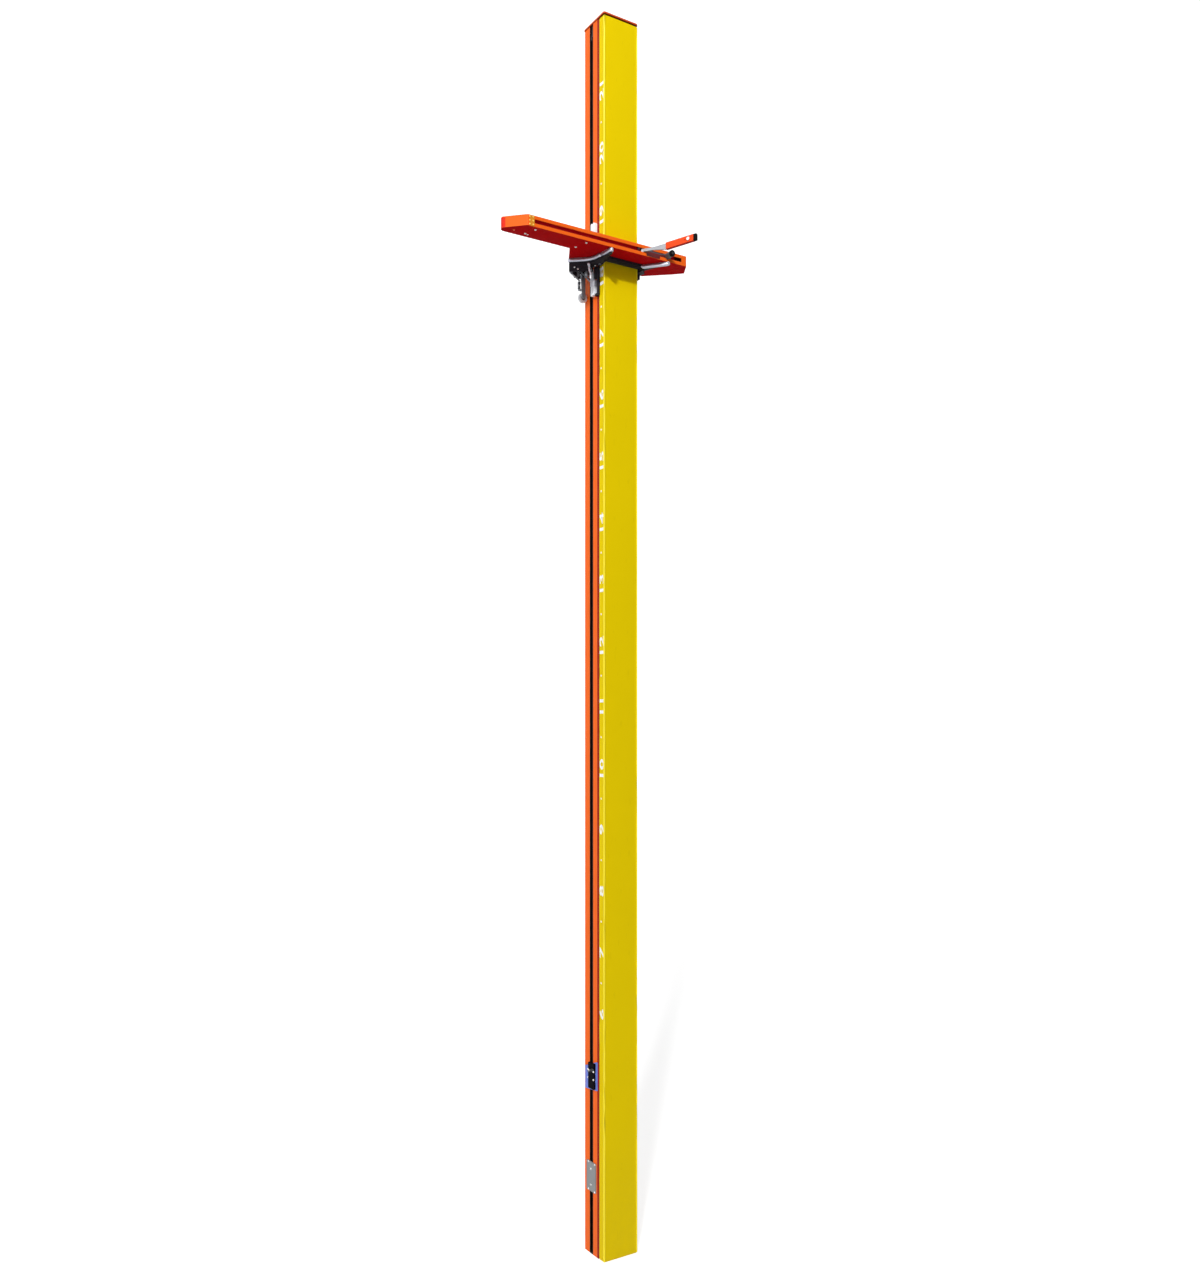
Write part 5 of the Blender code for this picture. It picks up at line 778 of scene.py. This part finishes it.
def make_height_scale():
    """Foot numbers up the pad's left side, read from below to above, with a dot at each half foot."""
    mesh = bmesh.new()
    for number in range(FIRST_FOOT, LAST_FOOT + 1):
        piece = laid_number(number)
        mesh.from_mesh(piece)
        bpy.data.meshes.remove(piece)
    dot_y = pad_back - 0.0165
    turns = [tau * k / 16 for k in range(16)]
    for number in range(FIRST_FOOT, LAST_FOOT):
        z = height_of(number + 0.5)
        rim = [(dot_y + dot_radius * cos(turn), z + dot_radius * sin(turn)) for turn in turns]
        mesh.faces.new([mesh.verts.new(on_left_side(*place, ink + 0.0001)) for place in rim])
    for face in mesh.faces:
        if face.normal.x > 0:
            face.normal_flip()
    piece_of("height_scale", mesh_data("height_scale", mesh), "scale_white", "upright")


make_pad()
make_piping()
make_stitches()
make_height_scale()


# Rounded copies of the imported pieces, some with their shape or some faces changed
HORN_ROOT = Vector((0.150, -0.140, 0))
HORN_ALONG = Vector((0.75, -0.66, 0)).normalized()
HORN_ACROSS = Vector((0.66, 0.75, 0)).normalized()
LEFT_HORN_ROOT_Y = -0.165
LEFT_HORN_X = -0.1115
gear_left = 0.0095
gear_right = -0.0465


def faces_down(centre, normal):
    return normal.z < -0.6


def faces_front(centre, normal):
    return normal.y < -0.7


def under_arm(centre, normal):
    return faces_down(centre, normal) and centre.z < arm_bottom + 0.001


def in_front_bar(centre, normal):
    return pad_low.x - 0.012 < centre.x < pad_high.x + 0.003 and centre.y < pad_low.y


def along(value, start, end, low, high):
    """A value between start and end, carried over to the range from low to high."""
    share = min(1.0, max(0.0, (value - start) / (end - start)))
    return low + (high - low) * share


def fitted_gear_plate(point):
    """The plate's left part is lower than the housing, and its lower edge rises to the right."""
    left_top = 0.936
    back_y, back_bottom = 0.030, 0.8216
    front_y, front_bottom = -0.060, 0.8337
    if point.x < post_low.x:
        if point.y > gear_left - 0.006:
            point.z = min(point.z, left_top)
        point.z = max(point.z, along(point.y, back_y, front_y, back_bottom, front_bottom))
    return point


def fitted_housing(point):
    point.y = along(point.y, gear_low.y, gear_high.y, gear_right, gear_left)
    return point


def fitted_tension_plate(point):
    bottom, top = 0.316, 0.464
    point.z = along(point.z, tension_low.z, tension_high.z, bottom, top)
    point.y -= 0.006
    return point


def wider_roller_arm(point):
    """The arm gets wider on its left towards the top, and a little wider on its right."""
    middle = (wheel_low.x + wheel_high.x) / 2
    half_thickness = 0.0075
    if abs(point.x - middle) < half_thickness:
        point.x += -along(point.z, 4.82, 4.91, 0.004, 0.012) if point.x < middle else 0.003
    return point


def from_near_edge(point):
    """How far a point lies behind the right horn's front edge, which runs a little askew."""
    reach = (point - HORN_ROOT).dot(HORN_ALONG)
    return (point - HORN_ROOT).dot(HORN_ACROSS) + 0.0231 + 0.148 * (reach + 0.002)


def slim_horns(point):
    """The horns of the plate are narrow bars: their far side comes in."""
    reach = (point - HORN_ROOT).dot(HORN_ALONG)
    if reach > 0:
        return point - HORN_ACROSS * (from_near_edge(point) * 0.62 * min(1.0, reach / 0.03))
    if point.y < LEFT_HORN_ROOT_Y and point.x < 0:
        point.x = LEFT_HORN_X + (point.x - LEFT_HORN_X) * 0.40
    return point


def moved_rivet(point):
    """The grip's rivet, larger and nearer to the grip's end."""
    low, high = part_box("grip_rivet")
    middle = (low + high) / 2
    return middle + (point - middle) * 1.45 + Vector((0.0084, -0.0181, 0))


# painted shade: the downward faces under the arm take the dark red underside finish
shade_below = [("underside_painted_shade", under_arm)]
for name, width, options in (
    ("upright_extrusion", 0.0011, {}), ("foot_plate", 0.0006, {}),
    ("arm_beam", 0.0012, {"repaint": shade_below}), ("arm_nose", 0.0022, {"repaint": shade_below}),
    ("arm_tail", 0.0018, {"repaint": shade_below}), ("gusset_plate", 0.0006, {"repaint": shade_below}),
    ("carriage_casting", 0.0012, {"reshape": slim_horns, "cut": (HORN_ROOT, HORN_ALONG)}),
    ("carriage_plate", 0.0012, {"reshape": slim_horns, "repaint": [
        ("charcoal_casting", faces_down), ("charcoal_casting", in_front_bar)]}),
    ("upper_shoe_bracket", 0.0006, {}), ("upper_guide_shoe", 0.0018, {}), ("brake_shoe", 0.0016, {}),
    ("brake_clevis", 0.0006, {}), ("brake_lever", 0.0009, {}), ("brake_link", 0.0006, {}),
    ("brake_cam_shaft", 0.0006, {}),
    ("roller_arm", 0.0006, {"reshape": wider_roller_arm}), ("guide_wheel_tyre", 0.0010, {}),
    ("guide_wheel_hub", 0.0006, {}), ("peg_slide", 0.0006, {}),
    ("crossbar_peg", 0.0008, {"repaint": [("dark_socket", faces_front)]}),
    ("peg_rubber_ring", 0.0010, {}),
    # the clamp lever's downward faces are dark steel, a painted shade on its underside
    ("clamp_lever", 0.0008, {"repaint": [("dark_steel", faces_down)]}),
    ("clamp_grip", 0.0012, {"repaint": [("grip_shade", faces_down)]}), ("grip_end_plug", 0.0014, {}),
    ("grip_rivet", 0.0005, {"reshape": moved_rivet}), ("belt_clamp_block", 0.0005, {}),
    ("spring_link", 0.0006, {}),
    ("gearbox_housing", 0.0016, {"reshape": fitted_housing}),
    ("gearbox_frame", 0.0006, {"reshape": fitted_gear_plate}),
    ("tension_plate", 0.0008, {"reshape": fitted_tension_plate}), ("top_cap", 0.0010, {}),
    ("rear_roller", 0.0010, {}), ("side_roller", 0.0010, {}),
    ("worm_shaft", 0.0003, {}),
):
    softened(name, width, **options)


# Rim of the carriage plate
WING_KNEE = Vector((-0.1283, -0.1062, plate_top))
wing_end_y = 0.035
bead_drop = 0.0110
right_bead, left_bead = 0.0108, 0.0094


def outer_outline(name, height):
    """The widest loop of edges round a flat piece at a height, in order, from its rearmost point."""
    mesh = bmesh.new()
    mesh.from_mesh(nodes[name].data)
    bmesh.ops.remove_doubles(mesh, verts=mesh.verts, dist=MERGE)
    flat = {f for f in mesh.faces if abs(f.normal.z) > 0.99 and abs(f.calc_center_median().z - height) < 1e-4}
    loops = []
    left = dict.fromkeys(e for e in mesh.edges if len([f for f in e.link_faces if f in flat]) == 1)
    while left:
        edge = next(iter(left))
        del left[edge]
        loop = [edge.verts[0], edge.verts[1]]
        while True:
            step = next((e for e in loop[-1].link_edges if e in left), None)
            if step is None:
                break
            del left[step]
            loop.append(step.other_vert(loop[-1]))
        loops.append([v.co.copy() for v in loop[:-1]])
    mesh.free()
    widest = max(loops, key=lambda loop: max(p.x for p in loop) - min(p.x for p in loop))
    back = max(range(len(widest)), key=lambda i: (round(widest[i].y, 5), widest[i].x))
    return widest[back:] + widest[:back + 1]


def in_front_bar_line(point):
    return pad_low.x - 0.012 < point.x < pad_high.x - 0.006 and point.y > pad_low.y - 0.060


def behind_right_horn(point):
    return point.x > 0.14 and from_near_edge(point) > 0.008


def has_bead(point):
    return point.y < wing_end_y and not in_front_bar_line(point) and not behind_right_horn(point)


def eased_knee(run):
    """Smooths the sharp bend of the rim near the wing's knee, and leaves the rest as it is."""
    rounds = 30
    near = 0.05
    for _ in range(rounds):
        run = [q if i in (0, len(run) - 1) or (q - WING_KNEE).length > near
               else (run[i - 1] + run[i + 1] + q * 2) / 4 for i, q in enumerate(run)]
    return run


def make_rim_bead():
    """The rounded silver rim of the carriage plate, from wing to left horn and along the right horn."""
    outline = outer_outline("carriage_plate", plate_top)
    points = []
    for one, two in zip(outline, outline[1:]):
        pieces = max(1, int((two - one).length / 0.006))
        points += [slim_horns(one.lerp(two, i / pieces)) for i in range(pieces)]
    runs = [[]]
    for point in points:
        if has_bead(point):
            runs[-1].append(point)
        elif runs[-1]:
            runs.append([])
    mesh = bmesh.new()
    for run in runs:
        if len(run) > 6:
            path = [(q.x, q.y, plate_top - bead_drop) for q in eased_knee(run)]
            radius = right_bead if run[0].x > 0 else left_bead
            grow = [radius * min(1.0, 0.4 + 0.25 * min(i, len(run) - 1 - i)) for i in range(len(run))]
            tube(mesh, path, grow, 12, squeeze=0.56)
    object_of("carriage_rim", mesh, "satin_aluminium", "carriage", 60)


make_rim_bead()


# Screws of the arm, and bolts and guard plates of the carriage
WALL_OUT = Vector((-0.652, -0.758, 0))
screw_rise = 0.0034
fasteners("arm_screws", [
    (nose_edge + 0.018, arm_front + 0.0265, arm_bottom), (nose_edge - 0.003, arm_back - 0.034, arm_bottom),
    (post_low.x - 0.170, arm_front + 0.0235, arm_bottom), (post_low.x - 0.188, arm_back - 0.029, arm_bottom),
], DOWN, 0.0056, screw_rise, "carriage")
fasteners("nose_screw", [(nose_low.x + 0.056, arm_back - 0.043, arm_bottom)], DOWN, 0.0052, screw_rise,
          "carriage", look="orange_enamel")
fasteners("wing_bolts", [
    (-0.1991, -0.0453, 4.9150), (-0.1866, -0.0561, 4.9050),
], WALL_OUT, 0.0044, screw_rise, "carriage")
fasteners("wing_lower_bolt", [(-0.2070, -0.0345, 4.8950)], DOWN, 0.0055, 0.0110,
          "carriage", look="dark_steel")
fasteners("lever_rivets", [
    (-0.1441, -0.1024, 4.8820), (-0.1427, -0.1036, 4.8590),
], WALL_OUT, 0.0036, 0.0022, "brake_lever")
fasteners("ring_bolt", [(-0.1017, -0.0802, casting_under)], DOWN, 0.0042, 0.0030, "carriage")


def guard_plate(name, outline, low, high):
    """A flat dark plate with rounded edges, from its outline seen from above."""
    mesh = bmesh.new()
    under, over = [[mesh.verts.new((x, y, z)) for x, y in outline] for z in (low, high)]
    mesh.faces.new(under[::-1])
    mesh.faces.new(over)
    for i in range(len(outline)):
        mesh.faces.new((under[i - 1], under[i], over[i], over[i - 1]))
    rounding = min(0.0004, (high - low) * 0.3)
    bmesh.ops.bevel(mesh, geom=mesh.edges[:], offset=rounding, segments=2, affect="EDGES")
    object_of(name, mesh, "charcoal_casting", "carriage", 40)


# the ring's guard leaves room for the clevis head, which rises when the brake lifts
guard_left, guard_right, guard_front, guard_back = -0.132, -0.0748, -0.0790, -0.0120
room_left, room_front, room_back = -0.0990, -0.0585, -0.0175
guard_plate("ring_guard", [
    (guard_left, guard_front), (guard_right, guard_front), (guard_right, room_front), (room_left, room_front),
    (room_left, room_back), (guard_right, room_back), (guard_right, guard_back), (-0.108, guard_back),
    (guard_left, -0.04),
], casting_under - 0.0020, casting_under - 0.0006)
guard_plate("leg_guard", [(-0.0775, -0.0785), (-0.0759, -0.0785), (-0.0759, -0.0580), (-0.0775, -0.0580)],
            casting_low.z + 0.007, casting_under - 0.0024)


# Spring of the guide wheel
def make_spring():
    """The guide wheel's spring: close end turns, open curls and hooked ends."""
    low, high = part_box("arm_spring")
    x, y = (low.x + high.x) / 2, (low.y + high.y) / 2 + 0.003
    wire = 0.0021
    radius = (high.x - low.x) / 2 - wire
    turns = 7
    steps = 24
    end_gap = 0.004
    path = []
    for i in range(turns * steps + 1):
        share = i / (turns * steps)
        eased = share - 0.055 * sin(tau * share)
        angle = tau * i / steps
        path.append((x + radius * cos(angle), y + radius * sin(angle),
                     low.z + end_gap + (high.z - low.z - 2 * end_gap) * eased))
    hook_turns = [pi, pi * 0.75, pi / 2, pi / 4]
    hook_low = [(x + radius * cos(a), y, low.z + 0.0012 + 0.0028 * sin(a)) for a in hook_turns]
    hook_high = [(x + radius * cos(a), y, high.z - 0.0012 - 0.0028 * sin(a)) for a in reversed(hook_turns)]
    mesh = bmesh.new()
    tube(mesh, [*hook_low, *path, *hook_high], wire, 8)
    spring = object_of("guide_spring", mesh, "spring_steel", "carriage", 60)
    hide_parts("arm_spring")
    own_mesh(spring)


make_spring()


# Screws of the gearbox and the tension plate
fasteners("gearbox_screws", [
    (gear_low.x, gear_right + 0.0034, 0.9265), (gear_low.x, gear_right + 0.0034, 0.8870),
], LEFT, 0.0048, 0.0036, "upright")
fasteners("worm_shaft_end", [
    (worm_low.x + 0.0012, (worm_low.y + worm_high.y) / 2 - 0.002, (worm_low.z + worm_high.z) / 2 + 0.004),
], LEFT, 0.0064, 0.0012, nodes["worm_shaft"]["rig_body"])
fasteners("gear_plate_screws", [
    (gear_plate_low.x + 0.0024, 0.0235, 0.8810), (gear_plate_low.x + 0.0024, 0.0245, 0.9225),
], LEFT, 0.0046, 0.0036, "upright")
tension_face = tension_low.x + 0.0028
fasteners("tension_screws", [
    *[(tension_face, y, z) for y in (-0.0390, 0.0185) for z in (0.3225, 0.4600)],
    *[(tension_face, -0.0045, z) for z in (0.351, 0.429)],
], LEFT, 0.0050, screw_rise, "upright")


# Stage and light
WHITE = (1, 1, 1, 1)


def background_rays(tree):
    """1 for rays that look at the background: straight, mirrored or through glass."""
    seen = node(tree, "ShaderNodeLightPath")
    mirrored = math_step(tree, "ADD", seen.outputs["Is Glossy Ray"], seen.outputs["Is Transmission Ray"])
    return math_step(tree, "ADD", seen.outputs["Is Camera Ray"], mirrored, True)


def make_floor_finish():
    look = bpy.data.materials.new("pale_floor")
    look.use_nodes = True
    tree = look.node_tree
    shader = tree.nodes["Principled BSDF"]
    shader.inputs["Base Color"].default_value = (0.70, 0.70, 0.70, 1)
    shader.inputs["Roughness"].default_value = 0.9
    shader.inputs["Specular IOR Level"].default_value = 0.1
    shows = background_rays(tree)
    tree.links.new(math_step(tree, "MULTIPLY", shows, 0.68), shader.inputs["Emission Strength"])
    shader.inputs["Emission Color"].default_value = WHITE
    return look


def make_stage():
    """A floor that bends up into a backdrop behind the object."""
    mesh = bmesh.new()
    half_width, front, back, bend, top = 30.0, 16.0, 4.0, 3.0, 18.0
    profile = [(-front, 0.0), (back, 0.0)]
    profile += [(back + bend * sin(a), bend * (1 - cos(a))) for a in (pi / 2 * i / 12 for i in range(1, 13))]
    profile.append((back + bend, top))
    rows = [[mesh.verts.new((x, y, z)) for y, z in profile] for x in (-half_width, half_width)]
    for i in range(len(profile) - 1):
        mesh.faces.new((rows[0][i], rows[1][i], rows[1][i + 1], rows[0][i + 1]))
    data = mesh_data("backdrop", mesh)
    data.shade_smooth()
    data.materials.append(make_floor_finish())
    stage = in_scene("backdrop", data)


def make_world():
    world = bpy.data.worlds.new("studio")
    bpy.context.scene.world = world
    world.use_nodes = True
    tree = world.node_tree
    light = tree.nodes["Background"]
    light.inputs["Color"].default_value = WHITE
    on_object = 0.13
    more = math_step(tree, "MULTIPLY", background_rays(tree), 1 - on_object)
    tree.links.new(math_step(tree, "ADD", on_object, more), light.inputs["Strength"])


def lamp(name, kind, place, aim, energy, **settings):
    data = bpy.data.lights.new(name, kind)
    data.energy = energy
    for key, value in settings.items():
        setattr(data, key, value)
    made = in_scene(name, data)
    made.location = place
    made.rotation_euler = (Vector(aim) - Vector(place)).to_track_quat("-Z", "Y").to_euler()


make_stage()
make_world()
lamp("key", "SUN", (-3.4, -4.1, 7.65), (0, 0, 4.9), 1.94, angle=radians(4))
lamp("side_fill", "SUN", (-6.0, -1.6, 3.4), (0, 0, 3.0), 0.72, angle=radians(40))
lamp("top_fill", "AREA", (-2.2, -3.4, 7.4), (0, 0, 5.2), 78, shape="DISK", size=2.4)

# Camera: level, with its focal length, middle and place fitted to the photograph, in pixels and metres
PHOTO_WIDTH, PHOTO_HEIGHT = 1200, 1271
FOCAL_LENGTH = 1124
MIDDLE_X, HORIZON_Y = 599.43, 713.1
EYE = (-3.053, -4.798, 2.716)
LOOKS_ALONG = (0.5336, 0.8457)
camera = bpy.data.cameras.new("camera")
camera.sensor_width = 36.0
camera.lens = camera.sensor_width * FOCAL_LENGTH / PHOTO_HEIGHT
camera.shift_x = (PHOTO_WIDTH / 2 - MIDDLE_X) / PHOTO_HEIGHT
camera.shift_y = (HORIZON_Y - PHOTO_HEIGHT / 2) / PHOTO_HEIGHT
camera.clip_end = 200
eye = in_scene("camera", camera)
eye.location = EYE
eye.rotation_euler = (pi / 2, 0, -atan2(*LOOKS_ALONG))
bpy.context.scene.camera = eye
bpy.context.scene.view_settings.view_transform = "Standard"

bpy.context.view_layer.update()
